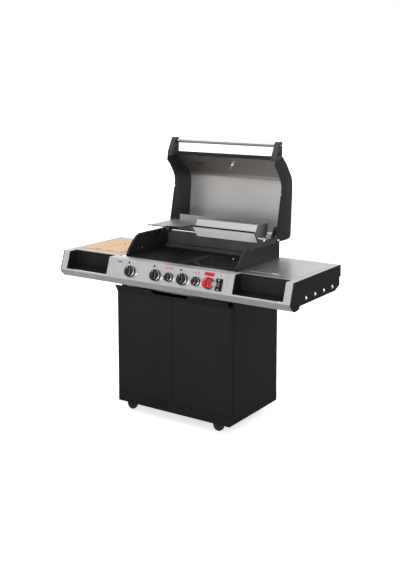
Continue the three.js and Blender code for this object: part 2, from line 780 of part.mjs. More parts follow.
function fireboxSide() {
  const outline = [
    [CASTING_FRONT, FIREBOX_BOTTOM],
    ...CASTING_EDGE,
    [HINGE_Y - 14, HINGE_Z + 14],
    [HINGE_Y, HINGE_Z + 17],
    [HINGE_Y + 14, HINGE_Z + 11],
    [HINGE_Y + 17, HINGE_Z],
    [HINGE_Y + 17, FIREBOX_BOTTOM],
  ];
  const lowered = offsetLine(CASTING_EDGE, -SHOULDER);
  const lowerOutline = [
    [lowered[0][0], FIREBOX_BOTTOM],
    ...lowered,
    [HINGE_Y - 14, CASTING_TOP_Z - SHOULDER],
    [HINGE_Y, CASTING_TOP_Z - SHOULDER],
    [HINGE_Y + 14, CASTING_TOP_Z - SHOULDER],
    [HINGE_Y + 17, CASTING_TOP_Z - SHOULDER - 3],
    [HINGE_Y + 17, FIREBOX_BOTTOM],
  ];
  const rimOuter = FIREBOX_INNER + RIM_WIDTH;
  const w = CASTING_WALL;
  const hollow = [
    [CASTING_FRONT + 22, FIREBOX_BOTTOM - 1],
    [CASTING_FRONT + 22, TABLE_Z - 14],
    [CASTING_FRONT + 42, TABLE_Z + 24],
    [CASTING_FRONT + 74, CASTING_TOP_Z - 44],
    [CASTING_FRONT + 98, CASTING_TOP_Z - 28],
    [HINGE_Y + 17 - w, CASTING_TOP_Z - 28],
    [HINGE_Y + 17 - w, FIREBOX_BOTTOM - 1],
  ];
  const shell = cut(
    join(
      prism("x", outline, FIREBOX_INNER, rimOuter),
      loft(outline, rimOuter, lowerOutline, FIREBOX_OUTER),
    ),
    prism("x", hollow, FIREBOX_INNER + w, FIREBOX_OUTER - 2 * w),
    spitHole(FIREBOX_INNER - 5, FIREBOX_OUTER + 5),
  );
  const hingeStud = rod("x", [HINGE_Y, HINGE_Z], HINGE_PIN, FIREBOX_INNER - 16, FIREBOX_INNER + 2);
  const rackStud = rod("x", RACK_PIVOT, RACK_PIN, FIREBOX_INNER - 13, FIREBOX_INNER + 2);
  return join(shell, hingeStud, rackStud);
}

bothSides((side, sign) => {
  piece("firebox_side_" + side, mirrored(fireboxSide(), sign), casting);
});

// Front wall, back wall and sloping floor, with a slot for the grease to drop through.
const TUB_HALF = FIREBOX_INNER - GAP;
const TUB_FRONT = GRATE_FRONT - 3;
const TUB_BACK = HINGE_Y - 12;
const TUB_FOLD_Z = TABLE_Z - 112;
const FUNNEL_Z = TABLE_Z - 154;
const SLOT_HALF = 60;
const GRATE_BOTTOM = GRATE_TOP - GRATE_THICKNESS;
const BACK_LEDGE_Z = TABLE_Z + 10;
const SWING_LEFT = WING_RIGHT - 15; // left of here the back wall keeps its full height
const HINGE_NOTCH = 20; // except at its left end, where the lid's hinge arm turns

function fireboxTub() {
  const front = fold(
    [
      [LEDGE_BACK - 8, TABLE_Z - 2 * SHEET - GAP],
      [TUB_FRONT, TABLE_Z - 2 * SHEET - GAP],
      [TUB_FRONT, TUB_FOLD_Z],
      [-SLOT_HALF, FUNNEL_Z],
    ],
    SHEET,
  );
  const back = fold(
    [
      [SLOT_HALF, FUNNEL_Z],
      [TUB_BACK - 24, TUB_FOLD_Z],
      [TUB_BACK - 24, BACK_LEDGE_Z],
      [TUB_BACK, BACK_LEDGE_Z + 6],
      [TUB_BACK, HINGE_Z - 9],
    ],
    SHEET,
  );
  const endOutline = [
    [TUB_FRONT, TUB_FOLD_Z + 60],
    [TUB_FRONT, TUB_FOLD_Z],
    [-SLOT_HALF, FUNNEL_Z],
    [SLOT_HALF, FUNNEL_Z],
    [TUB_BACK - 24, TUB_FOLD_Z],
    [TUB_BACK - 24, TUB_FOLD_Z + 60],
  ];
  const ends = [
    prism("x", endOutline, -TUB_HALF, -TUB_HALF + SHEET),
    prism("x", endOutline, TUB_HALF - SHEET, TUB_HALF),
  ];
  const ledgeTop = GRATE_BOTTOM - GAP;
  const ledges = [
    box(-TUB_HALF, TUB_HALF, TUB_FRONT + 1, TUB_FRONT + 16, ledgeTop - SHEET, ledgeTop),
    box(-TUB_HALF, TUB_HALF, TUB_BACK - 38, TUB_BACK - 23, ledgeTop - SHEET, ledgeTop),
  ];
  const walls = join(
    prism("x", front, -TUB_HALF, TUB_HALF),
    prism("x", back, -TUB_HALF, TUB_HALF),
    ...ends,
    ...ledges,
  );
  const relief = (left, right) =>
    box(left, right, TUB_BACK - 10, TUB_BACK + 10, HINGE_Z - 24, HINGE_Z + 10);
  const hoodRelief = relief(SWING_LEFT, TUB_HALF + 5);
  const hingeRelief = relief(-TUB_HALF - 5, HINGE_NOTCH - TUB_HALF);
  const inlets = BURNERS.map((x) =>
    rod("y", [x, BURNER_Z], INLET_RADIUS + 1, TUB_FRONT - 10, TUB_FRONT + 10, 12),
  );
  return cut(walls, hoodRelief, hingeRelief, ...inlets);
}

// Burners run from front to back, one in line with each main knob.
const BURNERS = KNOBS.filter(({ radius }) => radius === BIG_KNOB).map(({ x }) => x);
const BURNER_Z = TABLE_Z - 86;
const BURNER_RADIUS = 18;
const INLET_RADIUS = 9;
const BURNER_FRONT = TUB_FRONT + 14;
const BURNER_BACK = TUB_BACK - 44;
const INLET_FRONT = TUB_FRONT - 14;

function burnerTube(x) {
  const wall = 1.6;
  const profile = [
    [INLET_RADIUS, INLET_FRONT],
    [INLET_RADIUS, BURNER_FRONT],
    [BURNER_RADIUS, BURNER_FRONT + 12],
    [BURNER_RADIUS, BURNER_BACK],
    [0, BURNER_BACK],
    [0, BURNER_BACK - wall],
    [BURNER_RADIUS - wall, BURNER_BACK - wall],
    [BURNER_RADIUS - wall, BURNER_FRONT + 12],
    [INLET_RADIUS - wall, BURNER_FRONT],
    [INLET_RADIUS - wall, INLET_FRONT],
    [INLET_RADIUS, INLET_FRONT],
  ];
  const geometry = new THREE.LatheGeometry(
    profile.map(([r, y]) => new THREE.Vector2(r, y)),
    16,
  );
  return solid(geometry.translate(x, 0, BURNER_Z));
}

// Steel roof over a burner that spreads the heat and keeps fat off it.
function heatTent(x) {
  const top = BURNER_Z + 48;
  const roof = fold(
    [
      [x - 44, top - 30],
      [x, top],
      [x + 44, top - 30],
    ],
    -1.5,
  );
  return prism("y", roof, BURNER_FRONT, BURNER_BACK);
}

function infraredBurner(x) {
  const wall = 6;
  const halfWidth = 62;
  const body = cut(
    box(x - halfWidth, x + halfWidth, BURNER_FRONT, BURNER_BACK, BURNER_Z - 20, BURNER_Z + 28),
    box(
      x - halfWidth + wall,
      x + halfWidth - wall,
      BURNER_FRONT + wall,
      BURNER_BACK - wall,
      BURNER_Z + 18,
      BURNER_Z + 30,
    ),
  );
  const inlet = rod("y", [x, BURNER_Z], INLET_RADIUS, INLET_FRONT, BURNER_FRONT + 1, 12);
  return join(body, inlet);
}

piece("firebox_tub", fireboxTub(), satin);
const searingX = BURNERS.at(-1);
BURNERS.slice(0, -1).forEach((x, i) => {
  piece("burner_tube_" + (i + 1), burnerTube(x), satin);
  piece("heat_tent_" + (i + 1), heatTent(x), satin);
});
piece("infrared_burner", infraredBurner(searingX), satin);

// Tray under the slot, which pulls out at the back.
function greaseTray() {
  const halfWidth = HALF - SHEET - 4;
  const front = SIDE_FRONT + 12;
  const back = BACK + 1;
  const top = FUNNEL_Z - 6;
  const wall = 1.5;
  const body = cut(
    box(-halfWidth, halfWidth, front, back, TRAY_Z, top),
    box(-halfWidth + wall, halfWidth - wall, front + wall, back - wall, TRAY_Z + wall, top + 1),
  );
  const grip = box(-90, 90, back - 1, back + 14, top - 4, top - 2);
  return join(body, grip);
}
piece("grease_tray", greaseTray(), satin);

// ---------------------------------------------------------------- grates
const GRATE_GAP = 2;
const GRATE_RIGHT = FIREBOX_INNER - 3;
const INSERT_X = (GRATE_GAP + GRATE_RIGHT) / 2;
const INSERT_Y = (GRATE_FRONT + GRATE_BACK) / 2;
const FRAME_TOP = GRATE_TOP - BAR_PROUD;

function barPositions(from, to, count) {
  return Array.from({ length: count }, (_, i) => from + ((i + 0.5) * (to - from)) / count);
}

function grate(withHole) {
  const frame = 10;
  const left = GRATE_GAP;
  const body = cut(
    box(left, GRATE_RIGHT, GRATE_FRONT, GRATE_BACK, GRATE_BOTTOM, FRAME_TOP),
    box(
      left + frame,
      GRATE_RIGHT - frame,
      GRATE_FRONT + frame,
      GRATE_BACK - frame,
      GRATE_BOTTOM - 1,
      GRATE_TOP + 1,
    ),
  );
  const bars = barPositions(left + frame, GRATE_RIGHT - frame, 17).map((x) =>
    box(x - BAR / 2, x + BAR / 2, GRATE_FRONT + 5, GRATE_BACK - 5, GRATE_BOTTOM + 3, GRATE_TOP),
  );
  let whole = join(body, ...bars);
  if (withHole) {
    const outer = octagon(INSERT_X, INSERT_Y, INSERT_RADIUS + 9);
    const inner = octagon(INSERT_X, INSERT_Y, INSERT_RADIUS + 1);
    const seat = octagon(INSERT_X, INSERT_Y, INSERT_RADIUS - 7);
    const ring = prism("z", outer, GRATE_BOTTOM, FRAME_TOP);
    const well = prism("z", inner, GRATE_BOTTOM + 4, GRATE_TOP + 1);
    const hole = prism("z", seat, GRATE_BOTTOM - 1, GRATE_TOP + 1);
    whole = cut(join(whole, ring), well, hole);
  }
  return whole;
}

function grateInsert() {
  const bottom = GRATE_BOTTOM + 4 + GAP;
  const rim = prism("z", octagon(INSERT_X, INSERT_Y, INSERT_RADIUS), bottom, FRAME_TOP);
  const inner = octagon(INSERT_X, INSERT_Y, INSERT_RADIUS - 9);
  const ring = cut(rim, prism("z", inner, bottom - 1, GRATE_TOP + 1));
  const reach = INSERT_RADIUS - 8;
  const field = prism("z", octagon(INSERT_X, INSERT_Y, INSERT_RADIUS - 5), bottom, GRATE_TOP);
  const bars = barPositions(INSERT_X - reach, INSERT_X + reach, 13).map((x) =>
    box(x - BAR / 2, x + BAR / 2, INSERT_Y - reach, INSERT_Y + reach, bottom + 2, GRATE_TOP),
  );
  return join(ring, join(...bars).intersect(field));
}

piece("grate_left", mirrored(grate(false), -1), iron);
piece("grate_right", grate(true), iron);
piece("grate_insert", grateInsert(), iron);

// ---------------------------------------------------------------- lid
// The lid is drawn closed, then turned open about its hinge.
const LID_FRONT_Z = HINGE_Z - 28;
const LID_SKIN_LINE = [
  [FRONT + 37, LID_FRONT_Z + 5],
  [FRONT + 14, LID_FRONT_Z],
  [FRONT + 110, HINGE_Z + 137],
  [FRONT + 136, HINGE_Z + 155],
  [FRONT + 190, HINGE_Z + 169],
  [HINGE_Y - 41, HINGE_Z + 204],
  [HINGE_Y - 23, HINGE_Z + 192],
  [HINGE_Y + 8, HINGE_Z + 39],
];
const fromHinge = ([y, z]) => [y - HINGE_Y, z - HINGE_Z];

const lid = new THREE.Group();
lid.position.set(0, HINGE_Y, HINGE_Z);
lid.rotation.x = -OPEN_ANGLE;
grill.add(lid);

// Prisms square to the open lid, turned with it: a plan outline in (x, y), a side one in (y, z).
function openPlan(points) {
  return solid(prismGeometry("z", points, -80, 500).rotateX(OPEN_ANGLE));
}
function openSide(points, from, to) {
  return solid(prismGeometry("x", points, from, to).rotateX(OPEN_ANGLE));
}

const planLine = (half) => [
  [half, -80],
  [half, LID_BEND],
  [half - LID_LEAN, LID_DEPTH],
  [half - LID_LEAN - 4, LID_DEPTH + 25],
];

function lidSide() {
  const rim = offsetLine(CASTING_EDGE, RIM_CLEARANCE);
  const crown = offsetLine(LID_SKIN_LINE.slice(1), 2).reverse();
  const outline = [
    [CASTING_FRONT - 28, TABLE_Z + 4],
    ...rim,
    [HINGE_Y + 12, HINGE_Z + 29],
    ...crown,
    [FRONT + 31, LID_FRONT_Z - 2],
  ];
  const slab = openPlan([...planLine(LID_OUTER), ...planLine(LID_OUTER - LID_WALL).reverse()]);
  const blank = prism("x", outline.map(fromHinge), LID_OUTER - 60, LID_OUTER + 10);
  const [spitY, spitZ] = fromHinge([SPIT_Y, CASTING_TOP_Z + RIM_CLEARANCE / 2]);
  const spit = rod("x", [spitY, spitZ], SPIT_RADIUS, LID_OUTER - 60, LID_OUTER + 10, 12);
  const wall = cut(blank.intersect(slab), spit);
  const arm = [
    [-10, -8],
    [8, -10],
    [26, 6],
    [42, 56],
    [20, 62],
    [-10, 14],
  ];
  const block = [
    [22, 43],
    [42, 43],
    [42, 66],
    [22, 66],
  ];
  const armRight = FIREBOX_INNER - 2;
  return cut(
    join(
      wall,
      openSide(arm, armRight - 10, armRight),
      openSide(block, armRight - 10, LID_OUTER - LID_WALL + 1),
    ),
    rod("x", [0, 0], HINGE_PIN + GAP, armRight - 20, armRight + 5),
  );
}

const betweenSides = () => {
  const right = planLine(LID_OUTER - LID_WALL - GAP);
  const left = right.map(([x, y]) => [-x, y]).reverse();
  return openPlan([...right, ...left]);
};

// The middle of the lid's front panel, and the way it faces.
const [frontFoot, frontHead] = LID_SKIN_LINE.slice(1, 3).map(fromHinge);
const frontMiddle = [(frontFoot[0] + frontHead[0]) / 2, (frontFoot[1] + frontHead[1]) / 2];
const frontTilt = Math.atan2(frontHead[0] - frontFoot[0], frontHead[1] - frontFoot[1]);

function onFrontPanel(geometry) {
  return geometry.rotateX(Math.PI / 2 - frontTilt).translate(0, ...frontMiddle);
}
const dialHole = () =>
  solid(onFrontPanel(new THREE.CylinderGeometry(5, 5, 60, 12).rotateX(Math.PI / 2)));

function lidSkin() {
  const line = LID_SKIN_LINE.map(fromHinge);
  const sheet = prism("x", fold(line, -SKIN), -LID_OUTER - 5, LID_OUTER + 5);
  return cut(sheet.intersect(betweenSides()), dialHole());
}

function lidLiner() {
  const [foot, ...rest] = LID_SKIN_LINE.slice(1).map(fromHinge);
  const lifted = foot.map((v, i) => v + 0.09 * (rest[0][i] - v));
  const line = offsetLine([lifted, ...rest], -LINER_GAP);
  const sheet = prism("x", fold(line, -SKIN), -LID_OUTER - 5, LID_OUTER + 5);
  const slot = onFrontPanel(new THREE.BoxGeometry(58, 7, 40).translate(-235, 4, 0));
  return cut(sheet.intersect(betweenSides()), dialHole(), solid(slot));
}

const BRACKET_OUTLINE = [
  [FRONT + 52.5, TABLE_Z + 4],
  [FRONT + 27, TABLE_Z + 1],
  [FRONT - 62, TABLE_Z + 26],
  [FRONT - 68, TABLE_Z + 55],
  [FRONT + 10, TABLE_Z + 71],
  [FRONT + 29.5, TABLE_Z + 70],
];
const BRACKET_HOLE = [
  [FRONT + 17, TABLE_Z + 20],
  [FRONT - 21, TABLE_Z + 45],
  [FRONT + 9, TABLE_Z + 57],
];
const HANDLE_AT = [FRONT - 44, TABLE_Z + 43];

function handleBracket() {
  const inner = LID_OUTER - BRACKET_WIDTH;
  const plate = prism("x", BRACKET_OUTLINE.map(fromHinge), inner, LID_OUTER);
  return cut(plate, prism("x", BRACKET_HOLE.map(fromHinge), inner - 5, LID_OUTER + 5));
}

function thermometer() {
  const dial = new THREE.LatheGeometry(
    [
      [0, -38],
      [4, -38],
      [4, GAP],
      [DIAL_RADIUS, GAP],
      [DIAL_RADIUS, 10],
      [DIAL_RADIUS - 3, 13],
      [0, 13],
    ].map(([r, z]) => new THREE.Vector2(r, z)),
    24,
  );
  return solid(onFrontPanel(dial.rotateX(Math.PI / 2)));
}

bothSides((side, sign) => {
  piece("lid_side_" + side, mirrored(lidSide(), sign), casting, lid);
  piece("handle_bracket_" + side, mirrored(handleBracket(), sign), plastic, lid);
});
piece("lid_skin", lidSkin(), casting, lid);
piece("lid_liner", lidLiner(), satin, lid);
const handleEnd = LID_OUTER - BRACKET_WIDTH - GAP;
const handle = rod("x", fromHinge(HANDLE_AT), HANDLE_RADIUS, -handleEnd, handleEnd, 24);
piece("handle_tube", handle, steel, lid);
piece("thermometer", thermometer(), steel, lid);

// ---------------------------------------------------------------- warming shelf
// A folded sheet with a wide wing on its left, over a hood that turns heat back down.
const FLANGE = 34;
const CHEEK = 2;
const PLATE = 1.6;
const ARM_X = FIREBOX_INNER - 8;

function warmingShelf() {
  const plan = [
    [RACK_LEFT, WING_FRONT],
    [WING_RIGHT, WING_FRONT + 14],
    [WING_RIGHT + 12, RACK_FRONT],
    [RACK_RIGHT, RACK_FRONT],
    [RACK_RIGHT, RACK_BACK],
    [RACK_LEFT, RACK_BACK],
  ];
  const plate = prism("z", plan, SHELF_Z, SHELF_Z + PLATE);
  const flange = box(
    RACK_LEFT + 30,
    RACK_RIGHT,
    RACK_BACK - PLATE,
    RACK_BACK,
    SHELF_Z,
    SHELF_Z + FLANGE,
  );
  const raised = fold(
    [
      [RACK_FRONT + 3, SHELF_Z + 1],
      [RACK_FRONT + 25, SHELF_Z + 35],
      [RACK_FRONT + 50, SHELF_Z + 35],
      [RACK_FRONT + 56, SHELF_Z + 1],
    ],
    -PLATE,
  );
  const ridge = prism("x", raised, RACK_RIGHT - 400, RACK_RIGHT);
  const hanger = box(
    RACK_LEFT,
    RACK_LEFT + 3,
    RACK_BOLT[0] - 12,
    RACK_BOLT[0] + 12,
    RACK_BOLT[1] - 10,
    SHELF_Z + 1,
  );
  const pin = rod("x", RACK_BOLT, RACK_PIN, -ARM_X - 6, RACK_LEFT + 1, 12);
  return join(plate, flange, ridge, hanger, pin);
}

// Hood under the shelf: a sloping polished face in front and a folded floor, closed at both ends.
function shelfHood() {
  const left = WING_RIGHT + 14;
  const line = [
    [RACK_FRONT + 2, SHELF_Z - GAP - PLATE],
    [RACK_FRONT + 52, SHELF_Z - 71],
    [RACK_FRONT + 84, SHELF_Z - 71],
    [RACK_BACK - 2, SHELF_Z - 30],
    [RACK_BACK - 2, SHELF_Z - GAP],
  ];
  const trough = prism("x", fold(line, PLATE), left, RACK_RIGHT + GAP + 1);
  const cheekLine = [
    [RACK_FRONT + 1, SHELF_Z - GAP - 1],
    ...line.slice(1, 3),
    [RACK_BACK, SHELF_Z - 32],
    [RACK_BACK + 8, SHELF_Z - 14],
    [RACK_BACK + 6, SHELF_Z + 32],
    [RACK_FRONT + 28, SHELF_Z + 37],
    [RACK_FRONT + 5, SHELF_Z + 4],
  ];
  const cheek = prism("x", cheekLine, RACK_RIGHT + GAP, RACK_RIGHT + GAP + CHEEK);
  const leftCheek = prism("x", line, left, left + CHEEK);
  const pin = rod("x", RACK_BOLT, RACK_PIN, RACK_RIGHT + GAP + 1, ARM_X + 6, 12);
  return join(trough, cheek, leftCheek, pin);
}

// Flat link from the firebox side to the shelf's bolt.
function rackArm() {
  const [y0, z0] = RACK_PIVOT;
  const [y1, z1] = RACK_BOLT;
  const reach = Math.hypot(y1 - y0, z1 - z0);
  const angle = Math.atan2(z1 - z0, y1 - y0);
  const half = 8;
  const bar = new THREE.BoxGeometry(4, reach, 2 * half).translate(0, reach / 2, 0);
  const link = solid(bar.rotateX(angle).translate(ARM_X, y0, z0));
  const ends = [RACK_PIVOT, RACK_BOLT].map((at) => rod("x", at, half, ARM_X - 2, ARM_X + 2, 20));
  const holes = [RACK_PIVOT, RACK_BOLT].map((at) =>
    rod("x", at, RACK_PIN + GAP, ARM_X - 10, ARM_X + 10, 12),
  );
  return cut(join(link, ...ends), ...holes);
}

piece("warming_shelf", warmingShelf(), steel);
piece("shelf_hood", shelfHood(), steel);
bothSides((side, sign) => {
  piece("rack_arm_" + side, mirrored(rackArm(), sign), satin);
});

// The origin is at the middle of the floor under the grill.
grill.updateMatrixWorld(true);
const bounds = new THREE.Box3().setFromObject(grill, true);
grill.position.y = -(bounds.min.y + bounds.max.y) / 2;

export default grill;
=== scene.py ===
# %% [markdown]
# # A gas barbecue grill
# This lesson dresses a finished frame of a gas grill: sheet steel, cast side walls, a hinged lid and a cart
# on casters. The frame gives every size. What is added here is what the frame leaves plain: rounded edges,
# knobs, cast grates, screws, a dial, and the finish of every surface.

# %% Load the frame
import json
import math

import bpy
from mathutils import Matrix, Vector


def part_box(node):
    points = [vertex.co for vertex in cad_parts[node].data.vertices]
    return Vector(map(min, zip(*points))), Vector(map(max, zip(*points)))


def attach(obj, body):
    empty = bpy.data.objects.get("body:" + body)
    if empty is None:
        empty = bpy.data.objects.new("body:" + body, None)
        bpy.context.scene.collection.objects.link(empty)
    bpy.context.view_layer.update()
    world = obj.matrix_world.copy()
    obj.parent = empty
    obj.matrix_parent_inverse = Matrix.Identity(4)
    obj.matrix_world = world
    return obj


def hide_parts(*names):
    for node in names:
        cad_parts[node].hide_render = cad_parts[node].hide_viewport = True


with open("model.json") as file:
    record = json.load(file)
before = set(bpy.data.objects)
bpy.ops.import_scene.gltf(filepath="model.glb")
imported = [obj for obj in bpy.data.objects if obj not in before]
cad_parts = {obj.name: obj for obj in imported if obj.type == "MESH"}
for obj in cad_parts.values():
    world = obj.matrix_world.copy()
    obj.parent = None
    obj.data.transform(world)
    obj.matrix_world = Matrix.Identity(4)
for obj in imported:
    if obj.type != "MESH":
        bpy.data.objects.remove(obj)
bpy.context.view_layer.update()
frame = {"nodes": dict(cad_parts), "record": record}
body_of_node = {
    node: body
    for body, nodes in frame["record"]["behaviour"]["bodies"].items()
    for node in nodes
}
MM = 0.001

# %% [markdown]
# The camera stands to the right of the grill, a little above its table, and looks slightly down. The lens
# is a moderate telephoto, as for a catalogue picture, and a small shift keeps the grill in the upper half.

# %% Camera
BACK_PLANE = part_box("back_panel")[1][1]  # the camera's place is measured from the back of the cabinet
CAMERA_RIGHT = 2.846
CAMERA_FORWARD = 0.253 + 4.181
CAMERA_HEIGHT = 1.918
LOOK_DOWN = math.radians(7.905)
LOOK_LEFT = math.radians(34.094)
LENS = 57.755
SENSOR = 36
SHIFT_DOWN = -85 / 570
camera_data = bpy.data.cameras.new("camera")
camera = bpy.data.objects.new("camera", camera_data)
bpy.context.scene.collection.objects.link(camera)
camera.location = (CAMERA_RIGHT, BACK_PLANE - CAMERA_FORWARD, CAMERA_HEIGHT)
camera.rotation_euler = (math.radians(90) - LOOK_DOWN, 0, LOOK_LEFT)
camera_data.sensor_width = SENSOR
camera_data.lens = LENS
camera_data.shift_y = SHIFT_DOWN
bpy.context.scene.camera = camera
print("camera at", tuple(camera.location))

# %% [markdown]
# A catalogue studio has a bright backdrop behind the object and a darker room behind the camera. That
# contrast is what makes flat steel shine on top while black doors stay black. So the world fades from the
# backdrop's white to a mid grey in front, and only what the camera sees directly is plain white.

# %% Studio
BACKDROP_LIGHT = 1.06
ROOM_LIGHT = 0.62
scene = bpy.context.scene
scene.view_settings.view_transform = "Standard"
scene.view_settings.look = "None"
world = bpy.data.worlds.new("studio")
world.use_nodes = True
scene.world = world
sky = world.node_tree
background = sky.nodes["Background"]
background.inputs["Color"].default_value = (1, 1, 1, 1)
toward = sky.nodes.new("ShaderNodeSeparateXYZ")
sky.links.new(sky.nodes.new("ShaderNodeTexCoord").outputs["Generated"], toward.inputs[0])
fade = sky.nodes.new("ShaderNodeMapRange")
fade.inputs["From Min"].default_value = -0.9
fade.inputs["From Max"].default_value = 0.5
fade.inputs["To Min"].default_value = ROOM_LIGHT
fade.inputs["To Max"].default_value = BACKDROP_LIGHT
sky.links.new(toward.outputs["Y"], fade.inputs["Value"])
seen = sky.nodes.new("ShaderNodeMix")
seen.inputs[3].default_value = BACKDROP_LIGHT
sky.links.new(sky.nodes.new("ShaderNodeLightPath").outputs["Is Camera Ray"], seen.inputs[0])
sky.links.new(fade.outputs["Result"], seen.inputs[2])
sky.links.new(seen.outputs[0], background.inputs["Strength"])


def softbox(name, place, target, size, power):
    """A square lamp that faces the target."""
    lamp = bpy.data.lights.new(name, "AREA")
    lamp.size = size
    lamp.energy = power
    holder = bpy.data.objects.new(name, lamp)
    scene.collection.objects.link(holder)
    holder.location = place
    holder.rotation_euler = (Vector(target) - Vector(place)).to_track_quat("-Z", "Y").to_euler()
    return holder


softbox("top light", (-1.2, -0.6, 4.2), (0, 0, 0.9), 2.5, 40)
softbox("front light", (1.6, -4.6, 0.9), (0, 0, 1.0), 1.6, 130)


def select_only(*objects):
    """Selects these objects and nothing else, with the first one active."""
    bpy.ops.object.select_all(action="DESELECT")
    for each in objects:
        each.select_set(True)
    bpy.context.view_layer.objects.active = objects[0]


bpy.ops.object.select_all(action="DESELECT")
bpy.ops.mesh.primitive_plane_add(size=60, location=(0, 0, 0))
floor = bpy.context.object
floor.name = "studio_floor"

# %% [markdown]
# Two effects return in nearly every finish. Grain is fine noise, stretched along the direction that a sheet
# was brushed in, or even for powder coat. Smudge is broad and soft: the slight change in gloss that
# handling, heat and cleaning leave. Each is a node group, so that every material can place it with its own
# scale.


# %% Shared effects
def effect_group(name, detail, contrast):
    """A group that turns a position and a scale into a mask from 0 to 1."""
    group = bpy.data.node_groups.new(name, "ShaderNodeTree")
    group.interface.new_socket("Position", in_out="INPUT", socket_type="NodeSocketVector")
    group.interface.new_socket("Scale", in_out="INPUT", socket_type="NodeSocketVector")
    group.interface.new_socket("Mask", in_out="OUTPUT", socket_type="NodeSocketFloat")
    entry = group.nodes.new("NodeGroupInput")
    leave = group.nodes.new("NodeGroupOutput")
    stretch = group.nodes.new("ShaderNodeVectorMath")
    stretch.operation = "MULTIPLY"
    noise = group.nodes.new("ShaderNodeTexNoise")
    noise.inputs["Scale"].default_value = 1
    noise.inputs["Detail"].default_value = detail
    spread = group.nodes.new("ShaderNodeMapRange")
    spread.inputs["From Min"].default_value = 0.5 - contrast
    spread.inputs["From Max"].default_value = 0.5 + contrast
    group.links.new(entry.outputs["Position"], stretch.inputs[0])
    group.links.new(entry.outputs["Scale"], stretch.inputs[1])
    group.links.new(stretch.outputs[0], noise.inputs["Vector"])
    group.links.new(noise.outputs["Fac"], spread.inputs["Value"])
    group.links.new(spread.outputs["Result"], leave.inputs["Mask"])
    return group


grain_group = effect_group("grain", 3, 0.28)
smudge_group = effect_group("smudge", 4, 0.2)


def finish(name, dark, light, gloss, metallic=0.0, grain=(900, 900, 900), smudge=4.0, bump=0.0, **constants):
    """A finish between two colours and two roughnesses. Its grain is in lines per metre along each axis."""
    material = bpy.data.materials.new(name)
    material.use_nodes = True
    tree = material.node_tree
    shader = tree.nodes["Principled BSDF"]
    shader.inputs["Metallic"].default_value = metallic
    for socket, value in constants.items():
        shader.inputs[socket.replace("_", " ")].default_value = value
    place = tree.nodes.new("ShaderNodeTexCoord").outputs["Object"]

    def effect(group, scale):
        node = tree.nodes.new("ShaderNodeGroup")
        node.node_tree = group
        node.inputs["Scale"].default_value = scale
        tree.links.new(place, node.inputs["Position"])
        return node.outputs["Mask"]

    fine = effect(grain_group, grain)
    broad = effect(smudge_group, (smudge, smudge, smudge))
    both = tree.nodes.new("ShaderNodeMath")
    both.operation = "MULTIPLY_ADD"
    both.inputs[1].default_value = 0.5
    half = tree.nodes.new("ShaderNodeMath")
    half.operation = "MULTIPLY"
    half.inputs[1].default_value = 0.5
    tree.links.new(broad, half.inputs[0])
    tree.links.new(fine, both.inputs[0])
    tree.links.new(half.outputs[0], both.inputs[2])
    tint = tree.nodes.new("ShaderNodeMix")
    tint.data_type = "RGBA"
    tint.inputs[6].default_value = (*dark, 1)
    tint.inputs[7].default_value = (*light, 1)
    tree.links.new(both.outputs[0], tint.inputs[0])
    tree.links.new(tint.outputs[2], shader.inputs["Base Color"])
    sheen = tree.nodes.new("ShaderNodeMapRange")
    sheen.inputs["To Min"].default_value = gloss[0]
    sheen.inputs["To Max"].default_value = gloss[1]
    tree.links.new(both.outputs[0], sheen.inputs["Value"])
    tree.links.new(sheen.outputs["Result"], shader.inputs["Roughness"])
    if bump:
        relief = tree.nodes.new("ShaderNodeBump")
        relief.inputs["Strength"].default_value = 0.5
        relief.inputs["Distance"].default_value = bump
        tree.links.new(fine, relief.inputs["Height"])
        tree.links.new(relief.outputs["Normal"], shader.inputs["Normal"])
    return material


def grey(value, warmth=0.0):
    return (value * (1 + warmth), value, value * (1 - warmth))


# %% [markdown]
# The sheet steel of the panel and the shelves is brushed lengthwise. Its lines are a few tenths of a
# millimetre apart and run along X, so the grain is stretched several hundredfold that way. The liner has a
# coarser grain across it. Its front panel gets a darker, warmer copy of that finish, a painted dark
# reflection.

# %% Metals
panel_steel = finish(
    "panel steel", grey(0.55), grey(0.64), (0.30, 0.42), 0.8, (3, 1100, 1100), 3, 0.00004
)
rack_steel = finish(
    "rack steel", grey(0.38), grey(0.46), (0.34, 0.46), 0.9, (3, 1100, 1100), 3, 0.00004
)
brushed_steel = finish(
    "brushed steel", grey(0.44), grey(0.54), (0.26, 0.38), 1.0, (3, 1100, 1100), 3, 0.00004
)
liner_steel = finish(
    "liner steel", grey(0.50, 0.03), grey(0.60, 0.02), (0.34, 0.46), 1.0, (900, 8, 8), 3, 0.00002
)
# A darker, warmer copy of the liner's finish: a painted dark reflection on the liner's front panel.
liner_painted_dark = finish(
    "liner painted dark", grey(0.34, 0.06), grey(0.42, 0.05), (0.34, 0.46), 1.0, (900, 8, 8), 3, 0.00002
)
burner_steel = finish(
    "burner steel", grey(0.24, 0.05), grey(0.38, 0.04), (0.35, 0.55), 0.9, (60, 60, 60), 8, 0.0001
)
tray_steel = finish(
    "galvanised sheet", grey(0.36), grey(0.50), (0.35, 0.55), 0.9, (70, 70, 70), 12, 0.00003
)
polished_steel = finish(
    "polished steel", grey(0.36), grey(0.46), (0.16, 0.26), 1.0, (600, 40, 40), 5, 0.00001
)
bright_screw = finish(
    "bright screw", grey(0.62), grey(0.74), (0.18, 0.30), 1.0, (400, 400, 400), 9, 0.00002
)
# The hood's face gets a light, nearly matt finish that stands in for the steel's bright reflection: painted
# light.
hood_painted_bright = finish(
    "hood steel painted bright", grey(0.76), grey(0.86), (0.38, 0.50), 0.1, (1100, 6, 6), 6, 0.00002
)
pipe_steel = finish(
    "plated pipe", grey(0.30, 0.06), grey(0.42, 0.05), (0.3, 0.45), 0.9, (200, 200, 200), 9, 0.00002
)

# %% [markdown]
# Black is not one finish here. The cart is satin powder coat with a fine orange peel. The lid's sides and
# the firebox sides are castings under a duller enamel. The bins, brackets and end panels are moulded
# plastic. The grates are porcelain enamel over rough cast iron.

